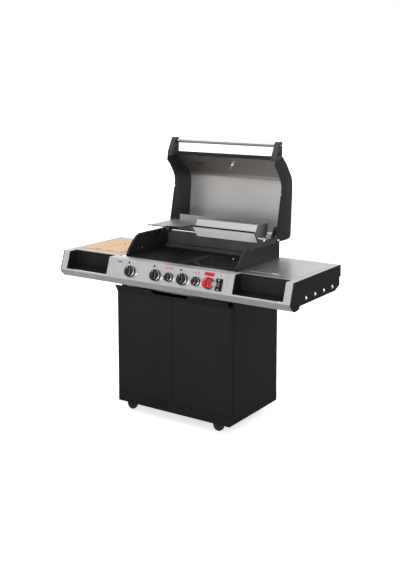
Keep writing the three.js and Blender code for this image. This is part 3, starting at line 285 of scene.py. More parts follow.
# %% Blacks
powder_coat = finish(
    "black powder coat", grey(0.006), grey(0.010), (0.36, 0.46), 0.0, (700, 700, 700), 3, 0.00005,
    Specular_IOR_Level=0.2
)
cast_enamel = finish(
    "black cast enamel", grey(0.009), grey(0.015), (0.42, 0.56), 0.0, (450, 450, 450), 5, 0.0001,
    Specular_IOR_Level=0.25
)
moulded_plastic = finish(
    "moulded plastic", grey(0.005), grey(0.009), (0.42, 0.55), 0.0, (1200, 1200, 1200), 6, 0.00004,
    Specular_IOR_Level=0.2
)
bracket_black = finish(
    "bracket black", grey(0.016), grey(0.024), (0.40, 0.52), 0.0, (1200, 1200, 1200), 6, 0.00004,
    Specular_IOR_Level=0.5
)
knob_chrome = finish(
    "knob chrome", grey(0.62), grey(0.72), (0.08, 0.14), 1.0, (900,) * 3, 20, 0.000005
)
knob_plastic = finish(
    "knob plastic", grey(0.006), grey(0.010), (0.16, 0.26), 0.0, (1500, 1500, 1500), 20, 0.00001
)
grate_enamel = finish(
    "grate enamel", grey(0.006), grey(0.014), (0.38, 0.60), 0.0, (350, 350, 350), 14, 0.0002,
    Specular_IOR_Level=0.4
)
tub_enamel = finish(
    "firebox enamel", grey(0.07), grey(0.12), (0.36, 0.50), 0.5, (3, 400, 400), 9, 0.00004
)
tyre_rubber = finish(
    "tyre rubber", grey(0.008), grey(0.014), (0.55, 0.7), 0.0, (500, 500, 500), 20, 0.0001
)
caster_black = finish(
    "caster black", grey(0.012), grey(0.020), (0.35, 0.5), 0.2, (500, 500, 500), 20, 0.00004
)
red_plastic = finish(
    "red plastic", (0.38, 0.003, 0.007), (0.48, 0.006, 0.012), (0.18, 0.30), 0.0, (1500,) * 3, 20,
    0.00001
)
red_ink = finish(
    "red ink", (0.42, 0.005, 0.008), (0.50, 0.008, 0.012), (0.4, 0.5), 0.0, (900,) * 3, 20
)
pink_ink = finish(
    "faded red ink", (0.40, 0.20, 0.19), (0.48, 0.27, 0.25), (0.4, 0.5), 0.0, (900,) * 3, 20
)
brass = finish(
    "brass", (0.62, 0.42, 0.16), (0.72, 0.52, 0.24), (0.22, 0.34), 1.0, (400,) * 3, 20, 0.00002
)
black_ink = finish("black ink", grey(0.012), grey(0.02), (0.4, 0.5), 0.0, (900,) * 3, 20)
grey_ink = finish("grey ink", grey(0.20), grey(0.26), (0.4, 0.5), 0.0, (900,) * 3, 20)
green_ink = finish(
    "green ink", (0.05, 0.16, 0.09), (0.07, 0.20, 0.12), (0.4, 0.5), 0.0, (900,) * 3, 20
)
dial_white = finish("dial face", grey(0.70), grey(0.78), (0.4, 0.5), 0.0, (900,) * 3, 20)
ceramic = finish(
    "burner ceramic", (0.52, 0.42, 0.33), (0.66, 0.56, 0.46), (0.7, 0.85), 0.0, (300,) * 3, 20, 0.0002
)

# %% [markdown]
# Bamboo boards are glued from narrow strips. Every strip has its own shade, so a random value per strip
# comes from white noise on the rounded-down position, and a stretched grain runs along the strip.


# %% Bamboo
def bamboo_finish(strip):
    material = bpy.data.materials.new("oiled bamboo")
    material.use_nodes = True
    tree = material.node_tree
    shader = tree.nodes["Principled BSDF"]
    place = tree.nodes.new("ShaderNodeTexCoord").outputs["Object"]
    apart = tree.nodes.new("ShaderNodeSeparateXYZ")
    tree.links.new(place, apart.inputs[0])
    count = tree.nodes.new("ShaderNodeMath")
    count.operation = "DIVIDE"
    count.inputs[1].default_value = strip
    tree.links.new(apart.outputs["X"], count.inputs[0])
    whole = tree.nodes.new("ShaderNodeMath")
    whole.operation = "FLOOR"
    tree.links.new(count.outputs[0], whole.inputs[0])
    shade = tree.nodes.new("ShaderNodeTexWhiteNoise")
    shade.noise_dimensions = "1D"
    tree.links.new(whole.outputs[0], shade.inputs["W"])
    fibre = tree.nodes.new("ShaderNodeGroup")
    fibre.node_tree = grain_group
    fibre.inputs["Scale"].default_value = (700, 12, 700)
    tree.links.new(place, fibre.inputs["Position"])
    blend = tree.nodes.new("ShaderNodeMath")
    blend.operation = "MULTIPLY_ADD"
    blend.inputs[1].default_value = 0.4
    soft = tree.nodes.new("ShaderNodeMath")
    soft.operation = "MULTIPLY"
    soft.inputs[1].default_value = 0.6
    tree.links.new(shade.outputs["Value"], soft.inputs[0])
    tree.links.new(fibre.outputs["Mask"], blend.inputs[0])
    tree.links.new(soft.outputs[0], blend.inputs[2])
    tint = tree.nodes.new("ShaderNodeMix")
    tint.data_type = "RGBA"
    tint.inputs[6].default_value = (0.60, 0.34, 0.15, 1)
    tint.inputs[7].default_value = (0.82, 0.55, 0.31, 1)
    tree.links.new(blend.outputs[0], tint.inputs[0])
    tree.links.new(tint.outputs[2], shader.inputs["Base Color"])
    sheen = tree.nodes.new("ShaderNodeMapRange")
    sheen.inputs["To Min"].default_value = 0.45
    sheen.inputs["To Max"].default_value = 0.60
    tree.links.new(blend.outputs[0], sheen.inputs["Value"])
    tree.links.new(sheen.outputs["Result"], shader.inputs["Roughness"])
    relief = tree.nodes.new("ShaderNodeBump")
    relief.inputs["Strength"].default_value = 0.4
    relief.inputs["Distance"].default_value = 0.0001
    tree.links.new(fibre.outputs["Mask"], relief.inputs["Height"])
    tree.links.new(relief.outputs["Normal"], shader.inputs["Normal"])
    return material


bamboo = bamboo_finish(18 * MM)

# %% [markdown]
# The studio floor is plain white to the eye. What it sends back into the object is held to a mid grey, as a
# real floor outside the lamps' pool of light would, or the black doors would mirror it and look washed out.
# It gets lighter towards the front, which gives the doors their soft fade from top to bottom.

# %% Floor finish
studio_white = finish("studio white", grey(0.95), grey(0.97), (0.8, 0.9), 0.0, (5, 5, 5), 1)
floor_tree = studio_white.node_tree
white_shader = floor_tree.nodes["Principled BSDF"]
grey_shader = floor_tree.nodes.new("ShaderNodeBsdfDiffuse")
across = floor_tree.nodes.new("ShaderNodeSeparateXYZ")
floor_tree.links.new(floor_tree.nodes.new("ShaderNodeTexCoord").outputs["Object"], across.inputs[0])
pool = floor_tree.nodes.new("ShaderNodeMapRange")
pool.inputs["From Min"].default_value = -4.5
pool.inputs["From Max"].default_value = -0.6
pool.inputs["To Min"].default_value = 0.85
pool.inputs["To Max"].default_value = 0.30
floor_tree.links.new(across.outputs["Y"], pool.inputs["Value"])
floor_tree.links.new(pool.outputs["Result"], grey_shader.inputs["Color"])
white_shader.inputs["Emission Color"].default_value = (1, 1, 1, 1)
white_shader.inputs["Emission Strength"].default_value = 0.6
by_ray = floor_tree.nodes.new("ShaderNodeMixShader")
floor_tree.links.new(floor_tree.nodes.new("ShaderNodeLightPath").outputs["Is Camera Ray"], by_ray.inputs[0])
floor_tree.links.new(grey_shader.outputs[0], by_ray.inputs[1])
floor_tree.links.new(white_shader.outputs[0], by_ray.inputs[2])
floor_tree.links.new(by_ray.outputs[0], floor_tree.nodes["Material Output"].inputs["Surface"])
floor.data.materials.append(studio_white)

# %% [markdown]
# Every part of the frame gets the finish of its slot in the record.

# %% Finishes for the frame
slot_finish = {
    "brushed_steel": brushed_steel,
    "heat_worn_steel": liner_steel,
    "burner_steel": burner_steel,
    "galvanised_tray": tray_steel,
    "gas_pipe": pipe_steel,
    "black_paint": powder_coat,
    "black_casting": cast_enamel,
    "black_plastic": moulded_plastic,
    "opener_metal": moulded_plastic,
    "knob_black": knob_plastic,
    "knob_red": red_plastic,
    "handle_steel": polished_steel,
    "dial_case": polished_steel,
    "grate_iron": grate_enamel,
    "bamboo": bamboo,
    "caster_steel": caster_black,
    "caster_tyre": tyre_rubber,
}
node_finish = {
    "firebox_tub": tub_enamel,
    "shelf_hood": hood_painted_bright,
    "warming_shelf": rack_steel,
    "rack_arm_left": cast_enamel,
    "rack_arm_right": cast_enamel,
    "control_panel": panel_steel,
    "shelf_fascia_left": panel_steel,
    "shelf_fascia_right": panel_steel,
    "handle_bracket_left": bracket_black,
    "handle_bracket_right": bracket_black,
}
slot_of_node = {part["node"]: part["material_slot"] for part in frame["record"]["subparts"]}
for node, cad in frame["nodes"].items():
    cad.data.materials.clear()
    cad.data.materials.append(node_finish.get(node, slot_finish[slot_of_node[node]]))
print(len(frame["nodes"]), "frame parts have a finish")

# %% [markdown]
# Folded sheet and castings have no sharp edges. A copy of a frame part is merged, its flat triangles are
# dissolved into whole faces, and a narrow bevel catches the light along each fold. The copy then stands for
# the frame part.


# %% Rounded edges
def rounded(node, width):
    """Stands a copy with rounded edges in the place of a frame part."""
    source = frame["nodes"][node]
    copy = bpy.data.objects.new(node + "_rounded", source.data.copy())
    scene.collection.objects.link(copy)
    select_only(copy)
    bpy.ops.object.mode_set(mode="EDIT")
    bpy.ops.mesh.select_all(action="SELECT")
    bpy.ops.mesh.remove_doubles(threshold=0.00001)
    bpy.ops.mesh.dissolve_limited(angle_limit=math.radians(0.5))
    bpy.ops.object.mode_set(mode="OBJECT")
    bevel = copy.modifiers.new("edges", "BEVEL")
    bevel.width = width
    bevel.segments = 2
    bevel.limit_method = "ANGLE"
    bevel.angle_limit = math.radians(28)
    bpy.ops.object.modifier_apply(modifier="edges")
    bpy.ops.object.shade_smooth_by_angle(angle=math.radians(32))
    weights = copy.modifiers.new("flat faces", "WEIGHTED_NORMAL")
    weights.keep_sharp = True
    bpy.ops.object.modifier_apply(modifier="flat faces")
    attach(copy, body_of_node[node])
    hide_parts(node)
    return copy


rounding = {
    2.5 * MM: ["cutting_board"],
    2.2 * MM: ["handle_bracket_left", "handle_bracket_right"],
    1.4 * MM: ["firebox_side_left", "firebox_side_right", "lid_side_left", "lid_side_right"],
    1.6 * MM: ["grate_left", "grate_right", "grate_insert"],
    1.2 * MM: ["end_panel_left", "end_panel_right", "bottle_opener"],
    0.4 * MM: ["lid_liner", "lid_skin", "warming_shelf", "shelf_hood", "firebox_tub"],
    0.7 * MM: [
        "door_left",
        "door_right",
        "plinth",
        "control_panel",
        "shelf_fascia_left",
        "shelf_fascia_right",
        "bin_left",
        "bin_right",
        "shelf_top_left",
        "shelf_top_right",
        "side_burner_lid",
    ],
}
for width, nodes in rounding.items():
    for node in nodes:
        piece = rounded(node, width)
        print(node, "has", len(piece.data.polygons), "faces")

# %% [markdown]
# New pieces are made from primitives that are added at their size and place and shaped from there. Each
# finished piece keeps its place in its mesh, takes one finish and rides on the body that it is fixed to.


# %% Helpers for new pieces
def soften(piece, width):
    """Rounds a piece's sharp edges and smooths its shading."""
    select_only(piece)
    bpy.ops.object.transform_apply(location=False, rotation=False, scale=True)
    bevel = piece.modifiers.new("edges", "BEVEL")
    bevel.width = width
    bevel.segments = 2
    bevel.limit_method = "ANGLE"
    bevel.angle_limit = math.radians(30)
    bpy.ops.object.modifier_apply(modifier="edges")
    bpy.ops.object.shade_smooth_by_angle(angle=math.radians(35))
    return piece


def block(low, high, edge):
    """A box with rounded edges between two corners."""
    low, high = Vector(low), Vector(high)
    bpy.ops.object.select_all(action="DESELECT")
    bpy.ops.mesh.primitive_cube_add(size=1, location=(low + high) / 2, scale=high - low)
    return soften(bpy.context.object, edge)


def disc(centre, axis, radius, depth, edge, corners=40):
    """A round or many-sided disc with rounded rims. Its centre is at half its depth."""
    turn = Vector(axis).to_track_quat("Z", "Y").to_euler()
    bpy.ops.object.select_all(action="DESELECT")
    bpy.ops.mesh.primitive_cylinder_add(
        vertices=corners, radius=radius, depth=depth, location=centre, rotation=turn
    )
    return soften(bpy.context.object, edge)


def ring(centre, axis, radius, thickness, corners=40):
    turn = Vector(axis).to_track_quat("Z", "Y").to_euler()
    bpy.ops.object.select_all(action="DESELECT")
    bpy.ops.mesh.primitive_torus_add(
        location=centre,
        rotation=turn,
        major_radius=radius,
        minor_radius=thickness,
        major_segments=corners,
        minor_segments=10,
    )
    bpy.ops.object.shade_smooth()
    return bpy.context.object


def settle(pieces, name, body, look):
    """Joins the pieces into one, which stays where it is, takes a finish and rides on a body."""
    select_only(*pieces)
    if len(pieces) > 1:
        bpy.ops.object.join()
    whole = bpy.context.object
    bpy.ops.object.transform_apply(location=True, rotation=True, scale=True)
    whole.name = name
    whole.data.materials.clear()
    whole.data.materials.append(look)
    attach(whole, body)
    return whole


def placed(pieces, matrix):
    """Moves pieces that were made round the origin to their place."""
    for piece in pieces:
        piece.matrix_world = matrix @ piece.matrix_world
    return pieces


# %% [markdown]
# Each knob is a black base ring, a polished drum with a black rim, and a tall grip across it. It is made
# upright round the origin and then stood on the sloping panel: the knob's own joint gives the place and the
# direction. The drum's face is inset and sunk, so that the grip stands in a shallow polished dish between
# two bright cheeks.

# %% Knob parts
joints = {joint["name"]: joint for joint in frame["record"]["behaviour"]["joints"]}
knob_nodes = sorted(node for node in frame["nodes"] if node.startswith("knob_"))
DRUM_TOP = 22 * MM
KNOB_TOP = 40 * MM


def on_panel(node):
    """The place of a knob on the panel: +Z points out of the panel and +Y up along it."""
    joint = joints[node + "_turn"]
    out = Vector(joint["axis"]).normalized()
    right = Vector((1, 0, 0))
    up = out.cross(right)
    turn = Matrix((right, up, out)).transposed().to_4x4()
    return Matrix.Translation(joint["pos_m"]) @ turn


def only_top(piece):
    """Selects a piece's highest face alone, ready for edit mode."""
    top = max(range(len(piece.data.polygons)), key=lambda i: piece.data.polygons[i].center.z)
    bpy.ops.object.mode_set(mode="EDIT")
    bpy.ops.mesh.select_all(action="DESELECT")
    bpy.ops.object.mode_set(mode="OBJECT")
    piece.data.polygons[top].select = True
    bpy.ops.object.mode_set(mode="EDIT")


def drum(radius, low, high, rim, dish):
    """A round drum whose top is sunk inside a rim."""
    bpy.ops.object.select_all(action="DESELECT")
    bpy.ops.mesh.primitive_cylinder_add(
        vertices=56, radius=radius, depth=high - low, location=(0, 0, (low + high) / 2)
    )
    piece = bpy.context.object
    only_top(piece)
    bpy.ops.mesh.inset(thickness=rim)
    bpy.ops.transform.translate(value=(0, 0, -dish))
    bpy.ops.object.mode_set(mode="OBJECT")
    return soften(piece, 0.7 * MM)


def grip(half_width, half_length, low, high):
    """A bar across the knob: narrower at the top, pinched in the middle and rounded all over."""
    bpy.ops.object.select_all(action="DESELECT")
    bpy.ops.mesh.primitive_cube_add(
        size=1, location=(0, 0, (low + high) / 2), scale=(2 * half_width, 2 * half_length, high - low)
    )
    piece = bpy.context.object
    bpy.ops.object.transform_apply(location=True, scale=True)
    bpy.ops.object.mode_set(mode="EDIT")
    bpy.ops.mesh.select_all(action="SELECT")
    bpy.ops.mesh.subdivide(number_cuts=4)
    bpy.ops.mesh.select_all(action="DESELECT")
    bpy.ops.object.mode_set(mode="OBJECT")
    for vertex in piece.data.vertices:
        x, y, z = vertex.co
        rise = (z - low) / (high - low)
        waist = 1 - 0.22 * rise - 0.25 * math.cos(math.pi * y / (2 * half_length)) * rise
        vertex.co = (x * waist, y * (1 - 0.10 * rise**2), z)
    return soften(piece, 1.2 * MM)


# %% Knobs
for node in knob_nodes:
    low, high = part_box(node)
    radius = (high[0] - low[0]) / 2
    red = node == "knob_searing"
    place = on_panel(node)
    body = body_of_node[node]
    slot = slot_of_node[node]
    plastic = red_plastic if red else knob_plastic
    base = drum(radius, 1 * MM, 7.5 * MM, 2.5 * MM, 1.5 * MM)
    settle(placed([base], place), node + "_base", body, knob_plastic)
    drum_radius = radius - 2.4 * MM
    side = drum(drum_radius, 6 * MM, DRUM_TOP - 2 * MM, 2 * MM, 1 * MM)
    settle(placed([side], place), node + "_drum", body, plastic if red else knob_chrome)
    parts = [
        drum(drum_radius + 0.6 * MM, DRUM_TOP - 3 * MM, DRUM_TOP, 3.2 * MM, 2 * MM),
        grip(radius * 0.30, radius * 0.84, DRUM_TOP - 3 * MM, KNOB_TOP),
    ]
    shell = settle(placed(parts, place), node + "_shell", body, plastic)
    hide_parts(node)
    cheeks = [
        block(
            (side * radius * 0.34 - 1.2 * MM, -radius * 0.62, DRUM_TOP - 2.6 * MM),
            (side * radius * 0.34 + 1.2 * MM, radius * 0.62, DRUM_TOP + 8 * MM),
            0.9 * MM,
        )
        for side in (-1, 1)
    ]
    settle(placed(cheeks, place), node + "_cheeks", body, knob_chrome)
    pointer = block(
        (-0.9 * MM, 0.42 * radius, KNOB_TOP - 0.8 * MM),
        (0.9 * MM, 0.72 * radius, KNOB_TOP + 0.2 * MM),
        0.2 * MM,
    )
    settle(placed([pointer], place), node + "_pointer", body, dial_white)
    print(node, "radius", round(radius * 1000, 1), "mm")

# %% [markdown]
# The panel's marks are printed. A thin raised disc or plate stands for the ink, a fifth of a millimetre
# proud, so that it also shows from the side. Plain dots and bars are enough; no words are drawn.

# %% Printed marks
panel = on_panel("knob_rear")
panel.translation.x = 0


def mark(name, x, up, width, height, ink, round_mark=False):
    if round_mark:
        piece = disc((x, up, 0.15 * MM), (0, 0, 1), width / 2, 0.5 * MM, 0.05 * MM, 24)
    else:
        low = (x - width / 2, up - height / 2, -0.1 * MM)
        high = (x + width / 2, up + height / 2, 0.4 * MM)
        piece = block(low, high, 0.05 * MM)
    settle(placed([piece], panel), name, "cart", ink)


for node in ("knob_main_left", "knob_main_centre", "knob_main_right"):
    x = joints[node + "_turn"]["pos_m"][0]
    mark("mark_" + node, x - 20 * MM, 49 * MM, 13 * MM, 13 * MM, black_ink, True)
    mark("scale_" + node, x + 2 * MM, 47 * MM, 12 * MM, 2.5 * MM, grey_ink)
side_x = joints["knob_side_turn"]["pos_m"][0]
mark("mark_knob_side", side_x + 9 * MM, 47 * MM, 9 * MM, 9 * MM, green_ink, True)
mark("scale_knob_side", side_x - 18 * MM, 47 * MM, 26 * MM, 3 * MM, grey_ink)
rear_x = joints["knob_rear_turn"]["pos_m"][0]
mark("label_knob_rear", rear_x - 10 * MM, 51 * MM, 56 * MM, 17 * MM, pink_ink)
searing_x = joints["knob_searing_turn"]["pos_m"][0]
mark("label_knob_searing", searing_x - 4 * MM, 49 * MM, 62 * MM, 19 * MM, red_ink)
opener_x = sum(corner[0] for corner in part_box("bottle_opener")) / 2
mark("tick_opener", opener_x + 4 * MM, 50 * MM, 4 * MM, 12 * MM, black_ink)
MAKER_BAR_X = -0.335
mark("maker_bar", MAKER_BAR_X, 47 * MM, 34 * MM, 5 * MM, black_ink)

# %% [markdown]
# The opener's plate is black and its claw is bright, in one piece of the frame. The faces that stand clear
# of the plate get the second finish. Two pan-head screws hold the plate.

# %% Bottle opener
opener = bpy.data.objects["bottle_opener_rounded"]
opener.data.materials.append(polished_steel)
out = panel.to_3x3() @ Vector((0, 0, 1))
for face in opener.data.polygons:
    if (face.center - panel.translation).dot(out) > 5 * MM:
        face.material_index = 1
screws = [
    disc((opener_x, up, 5 * MM), (0, 0, 1), 4.5 * MM, 2.4 * MM, 1 * MM, 20) for up in (-25 * MM, 25 * MM)
]
settle(placed(screws, panel), "opener_screws", "cart", bright_screw)

# %% [markdown]
# The hood is one bent sheet. Its right cheek takes a darker finish as painted shade, and its sloping face
# a light, nearly matt finish as a painted reflection. The wing's front flange is painted dark as shade. The
# liner's front panel gets a darker, warmer copy of its finish as a painted dark reflection. Faces are told
# apart by the way they face.

# %% Hood, wing and liner
hood = bpy.data.objects["shelf_hood_rounded"]
# The right cheek gets the darker burner steel as painted shade.
hood.data.materials.append(burner_steel)
for face in hood.data.polygons:
    if face.normal.x > 0.7:
        face.material_index = 1
liner = bpy.data.objects["lid_liner_rounded"]
# The liner's downward faces get the darker copy as a painted dark reflection.
liner.data.materials.append(liner_painted_dark)
for face in liner.data.polygons:
    if face.normal.z < -0.4:
        face.material_index = 1
shelf = bpy.data.objects["warming_shelf_rounded"]
# The wing's front flange, left of the middle, gets black enamel as painted shade.
shelf.data.materials.append(cast_enamel)
for face in shelf.data.polygons:
    if face.normal.y < -0.5 and face.center.x < -0.1:
        face.material_index = 1

# %% [markdown]
# The thermometer sits in the middle of the lid's front panel. From outside it shows a bright bezel, a white
# face with a coloured arc of ticks and a needle. Inside the lid only its washer, its nut and the tip of its
# stem show. It is made upright round the origin, then turned with the open lid.

# %% Thermometer place
lid_hinge = joints["lid_hinge"]
OPEN_ANGLE = math.radians(-102.5)
open_lid = Matrix.Rotation(OPEN_ANGLE, 4, "X")
DIAL_FROM_HINGE = Vector((0, -417 * MM, 54.5 * MM))
DIAL_TILT = math.radians(90 - 30.19)
dial_place = (
    Matrix.Translation(lid_hinge["pos_m"])
    @ open_lid
    @ Matrix.Translation(DIAL_FROM_HINGE)
    @ Matrix.Rotation(DIAL_TILT, 4, "X")
)

# %% Thermometer
UP = (0, 0, 1)
bezel = drum(34 * MM, 0.5 * MM, 13 * MM, 4 * MM, 2 * MM)
case = settle(placed([bezel], dial_place), "thermometer_bezel", "lid", polished_steel)
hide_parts("thermometer")
face = disc((0, 0, 11.2 * MM), UP, 29.8 * MM, 0.8 * MM, 0.2 * MM, 48)
settle(placed([face], dial_place), "thermometer_face", "lid", dial_white)
ticks = []
for i in range(13):
    angle = math.radians(225 - 22.5 * i)
    tick = block((21 * MM, -0.5 * MM, 11.5 * MM), (27 * MM, 0.5 * MM, 12 * MM), 0.1 * MM)
    ticks += placed([tick], Matrix.Rotation(angle, 4, "Z"))
settle(placed(ticks, dial_place), "thermometer_ticks", "lid", black_ink)
needle = [
    block((-4 * MM, -0.9 * MM, 12 * MM), (19 * MM, 0.9 * MM, 12.7 * MM), 0.2 * MM),
    disc((0, 0, 12.4 * MM), UP, 3 * MM, 1.6 * MM, 0.4 * MM, 24),
]
placed(needle, Matrix.Rotation(math.radians(205), 4, "Z"))
settle(placed(needle, dial_place), "thermometer_needle", "lid", red_ink)
# A dark plate behind the slot in the lid's liner is painted shade: it stands for the shadow inside the slot.
slot = block((-264 * MM, -9 * MM, -9.6 * MM), (-206 * MM, 9 * MM, -8.2 * MM), 0.6 * MM)
settle(placed([slot], dial_place), "slot_shadow_backing", "lid", moulded_plastic)
stem = [
    disc((0, 0, -11.2 * MM), UP, 15 * MM, 1.6 * MM, 0.4 * MM),
    disc((0, 0, -15 * MM), UP, 11 * MM, 6 * MM, 0.8 * MM, 6),
    disc((0, 0, -19 * MM), UP, 7 * MM, 3 * MM, 0.8 * MM, 24),
    disc((0, 0, -19 * MM), UP, 3.6 * MM, 38 * MM, 1.2 * MM, 20),
]
settle(placed(stem, dial_place), "thermometer_stem", "lid", bright_screw)

# %% [markdown]
# Screws and bolts say how the grill is put together, and their bright heads are what the eye finds on black
# castings. A hex bolt is a washer, a six-sided head and a short end of thread. A pan head is a low disc
# with a strongly rounded rim under a smaller crown.


# %% Fasteners
def hex_bolt(centre, axis, size):
    """A washer, a hexagonal head and the end of the thread, stacked along the axis."""
    centre, axis = Vector(centre), Vector(axis).normalized()
    return [
        disc(centre + axis * 0.15 * size, axis, size, 0.3 * size, 0.06 * size, 32),
        disc(centre + axis * 0.55 * size, axis, 0.78 * size, 0.6 * size, 0.08 * size, 6),
        disc(centre + axis * 0.9 * size, axis, 0.4 * size, 0.5 * size, 0.08 * size, 16),
    ]


def pan_head(centre, axis, size):
    """A pan-head screw: a low disc with a rounded rim under a smaller raised crown."""
    centre, axis = Vector(centre), Vector(axis).normalized()
    return [
        disc(centre + axis * 0.18 * size, axis, size, 0.5 * size, 0.2 * size, 24),
        disc(centre + axis * 0.40 * size, axis, 0.72 * size, 0.3 * size, 0.12 * size, 24),
    ]


RIGHT = Vector((1, 0, 0))
BACKWARD = Vector((0, 1, 0))
CHEEK_FACE = 302.4 * MM  # the outer face of the hood's right cheek
rack_bolt = Vector(joints["rack_level"]["pos_m"])
cheek_x = Vector((CHEEK_FACE, 0, 0))
cheek_bolts = hex_bolt(rack_bolt + cheek_x, RIGHT, 9 * MM)
cheek_bolts += hex_bolt(rack_bolt + cheek_x + Vector((0, 44 * MM, -5 * MM)), RIGHT, 7 * MM)
settle(cheek_bolts, "hood_bolts", "rack", bright_screw)
tub_low, tub_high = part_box("firebox_tub")
casting_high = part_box("firebox_side_right")[1]
side_screws = []
SCREW_SUNK = 2.1 * MM  # so that the grates lift past the heads
# each screw's distance from the middle of the tub, and its height
SCREW_PLACES = ((-78 * MM, 0.916), (-40 * MM, 0.916), (-195 * MM, 0.956))
tub_middle = 0.5 * (tub_low[1] + tub_high[1])
for side, wall in ((-1, tub_low[0]), (1, tub_high[0])):
    for along, height in SCREW_PLACES:
        spot = (wall + side * SCREW_SUNK, tub_middle + along, height)
        side_screws += pan_head(spot, (-side, 0, 0), 4.5 * MM)
settle(side_screws, "firebox_screws", "cart", bright_screw)
hinge_caps = []
hinge_spot = Vector(lid_hinge["pos_m"])
for side in (-1, 1):
    spot = hinge_spot + Vector((side * (casting_high[0] + 0.2 * MM), 0, -2 * MM))
    hinge_caps += hex_bolt(spot, (side, 0, 0), 8 * MM)
settle(hinge_caps, "hinge_bolts", "cart", bright_screw)

# %% [markdown]
# Four tools hang from each end panel. A peg stands in every slot: a short rod with an upturned tip, bright
# against the black.

# %% Tool pegs
FIRST_PEG = 169 * MM
PEG_PITCH = 99.5 * MM
PEG_HEIGHT = 49 * MM
for side, name in ((-1, "left"), (1, "right")):
    low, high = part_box("end_panel_" + name)
    outer = high[0] if side > 0 else low[0]
    pegs = []
    for i in range(4):
        y = low[1] + FIRST_PEG + PEG_PITCH * i
        z = low[2] + PEG_HEIGHT
        pegs.append(disc((outer - side * 3 * MM, y, z - 6 * MM), RIGHT, 2.4 * MM, 12 * MM, 0.5 * MM, 16))
        tip_x = sorted((outer + side * 0.5 * MM, outer + side * 3.5 * MM))
        pegs.append(block((tip_x[0], y - 2.4 * MM, z - 8 * MM), (tip_x[1], y + 2.4 * MM, z + 5 * MM), 1 * MM))
    settle(pegs, "tool_pegs_" + name, "cart", bright_screw)

# %% [markdown]
# A caster's wheel has a hub cap on each side, and the two front casters have a brake pedal. Each hub cap is
# a sunk drum, so that the rim of the hub stands out from the tyre.

# %% Caster details
for place in ("front_left", "front_right", "back_left", "back_right"):
    axle = Vector(joints["wheel_" + place + "_roll"]["pos_m"])
    caps = []
    for side in (-1, 1):
        cap = drum(17 * MM, 9 * MM, 12.2 * MM, 4 * MM, 1 * MM)
        turn = Matrix.Rotation(math.radians(-90 * side), 4, "X")
        caps += placed([cap], Matrix.Translation(axle) @ turn)
    settle(caps, "wheel_hub_" + place, "wheel_" + place, caster_black)
    if place.startswith("front"):
        pedal = block(
            axle + Vector((-44 * MM, -10 * MM, 13 * MM)),
            axle + Vector((-24 * MM, 10 * MM, 16.5 * MM)),
            1.2 * MM,
        )
        lip = block(
            axle + Vector((-48 * MM, -12 * MM, 12 * MM)),
            axle + Vector((-41 * MM, 12 * MM, 20 * MM)),
            1.6 * MM,
        )
        settle([pedal, lip], "brake_pedal_" + place, "caster_" + place, red_plastic)

# %% [markdown]
# Under the side burner's lid lies a small cast trivet: two bars each way on a ring. The searing burner's
# glow comes from plain ceramic tiles, which sit in its frame one behind the other.

# %% Side burner trivet
pan_low, pan_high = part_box("side_burner")
shelf_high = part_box("shelf_top_right")[1]
centre = Vector(((pan_low[0] + pan_high[0]) / 2, (pan_low[1] + pan_high[1]) / 2, shelf_high[2] - 12 * MM))
trivet = [ring(centre, UP, 62 * MM, 3.5 * MM, 56)]
half_x = (pan_high[0] - pan_low[0]) / 2 + 6 * MM
half_y = (pan_high[1] - pan_low[1]) / 2 + 6 * MM
for offset in (-36 * MM, 36 * MM):
    low_y = centre + Vector((offset - 3.5 * MM, -half_y, -2.5 * MM))
    trivet.append(block(low_y, centre + Vector((offset + 3.5 * MM, half_y, 5.5 * MM)), 1.6 * MM))
    low_x = centre + Vector((-half_x, offset - 3.5 * MM, -2.5 * MM))
    trivet.append(block(low_x, centre + Vector((half_x, offset + 3.5 * MM, 5.5 * MM)), 1.6 * MM))
settle(trivet, "side_burner_trivet", "cart", grate_enamel)

# %% Ceramic tiles
frame_low, frame_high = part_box("infrared_burner")
tile_front = frame_low[1] + 35 * MM
tile_back = frame_high[1] - 7 * MM
pitch = (tile_back - tile_front) / 3
tiles = [
    block(
        (frame_low[0] + 7 * MM, tile_front + i * pitch + 1 * MM, frame_high[2] - 10.4 * MM),
        (frame_high[0] - 7 * MM, tile_front + (i + 1) * pitch - 1 * MM, frame_high[2] - 3 * MM),
        1 * MM,
    )
    for i in range(3)
]
settle(tiles, "searing_tiles", "cart", ceramic)
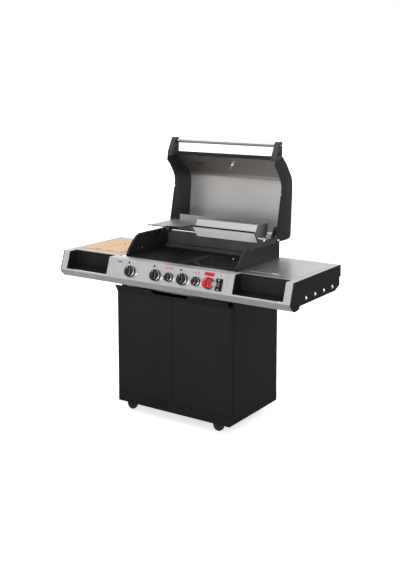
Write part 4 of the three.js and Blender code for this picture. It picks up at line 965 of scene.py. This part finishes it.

# %% [markdown]
# Dark strips stand for shade as painted shadow: one runs along the top of the hood's bright sloping face and
# down its right edge, and one along the wing's front edge.

# %% Hood shadow strips
hood_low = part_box("shelf_hood")[0]
edge_y = hood_low[1]
top_z = rack_bolt.z + 43 * MM
SHADOW_STRIP_END = 0.301
FACE_SLOPE = (50, -71)  # the face's run to the back and its drop
slope = Matrix.Rotation(math.atan2(FACE_SLOPE[1], FACE_SLOPE[0]), 4, "X")
# Each strip is a dark block put where the hood and wing are in shade: painted shadow.
rail = block(
    (hood_low[0] - 6 * MM, edge_y - 2.2 * MM, top_z - 9 * MM),
    (SHADOW_STRIP_END, edge_y + 0.8 * MM, top_z - 0.5 * MM),
    0.8 * MM,
)
post = block((-4 * MM, -42 * MM, -1.4 * MM), (4 * MM, 42 * MM, 1.4 * MM), 0.8 * MM)
placed([post], Matrix.Translation((0.297, edge_y + 24 * MM, top_z - 37 * MM)) @ slope)
wing_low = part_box("warming_shelf")[0]
WING_END = -0.14
wing_edge = block(
    (wing_low[0], wing_low[1] - 1.4 * MM, top_z - 7 * MM),
    (WING_END, wing_low[1] + 0.8 * MM, top_z - 0.6 * MM),
    0.6 * MM,
)
settle([rail, post, wing_edge], "hood_shadow_strips", "rack", moulded_plastic)

# %% [markdown]
# The back of the cabinet has raised louvres across its middle and is held by screws. The gas pipe
# ends on the right in a brass-coloured union with a hose tail.

# %% Back of the cabinet
back_low, back_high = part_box("back_panel")
louvres = [
    block(
        (-90 * MM, back_high[1] - 0.5 * MM, back_low[2] + (140 + 26 * i) * MM),
        (90 * MM, back_high[1] + 3 * MM, back_low[2] + (152 + 26 * i) * MM),
        1.4 * MM,
    )
    for i in range(6)
]
settle(louvres, "back_louvres", "cart", powder_coat)
back_screws = []
for x in (back_low[0] + 14 * MM, 0, back_high[0] - 14 * MM):
    for z in (back_low[2] + 14 * MM, back_high[2] - 14 * MM):
        back_screws += pan_head((x, back_high[1], z), BACKWARD, 4.5 * MM)
settle(back_screws, "back_screws", "cart", bright_screw)

# %% Gas inlet
pipe_low, pipe_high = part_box("gas_manifold")
pipe_at = Vector((pipe_high[0], pipe_high[1] - 8 * MM, pipe_low[2] + 8 * MM))
inlet = [
    disc(pipe_at + RIGHT * 3 * MM, RIGHT, 11 * MM, 10 * MM, 1 * MM, 6),
    disc(pipe_at + RIGHT * 13 * MM, RIGHT, 5 * MM, 16 * MM, 1 * MM, 24),
]
settle(inlet, "gas_inlet", "cart", brass)

# %% [markdown]
# The handle's tube ends in a turned collar on each side, and one screw head sits on each bracket.

# %% Handle details
tube_low, tube_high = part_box("handle_tube")
tube_y = (tube_low[1] + tube_high[1]) / 2
tube_z = (tube_low[2] + tube_high[2]) / 2
collars = [
    disc((side * (tube_high[0] - 3 * MM), tube_y, tube_z), RIGHT, 13 * MM, 6 * MM, 1.2 * MM)
    for side in (-1, 1)
]
settle(collars, "handle_collars", "lid", knob_plastic)
bracket_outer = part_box("handle_bracket_right")[1][0]
caps = []
for side in (-1, 1):
    caps += pan_head((side * bracket_outer, tube_y, tube_z), (side, 0, 0), 5 * MM)
settle(caps, "bracket_screws", "lid", bright_screw)
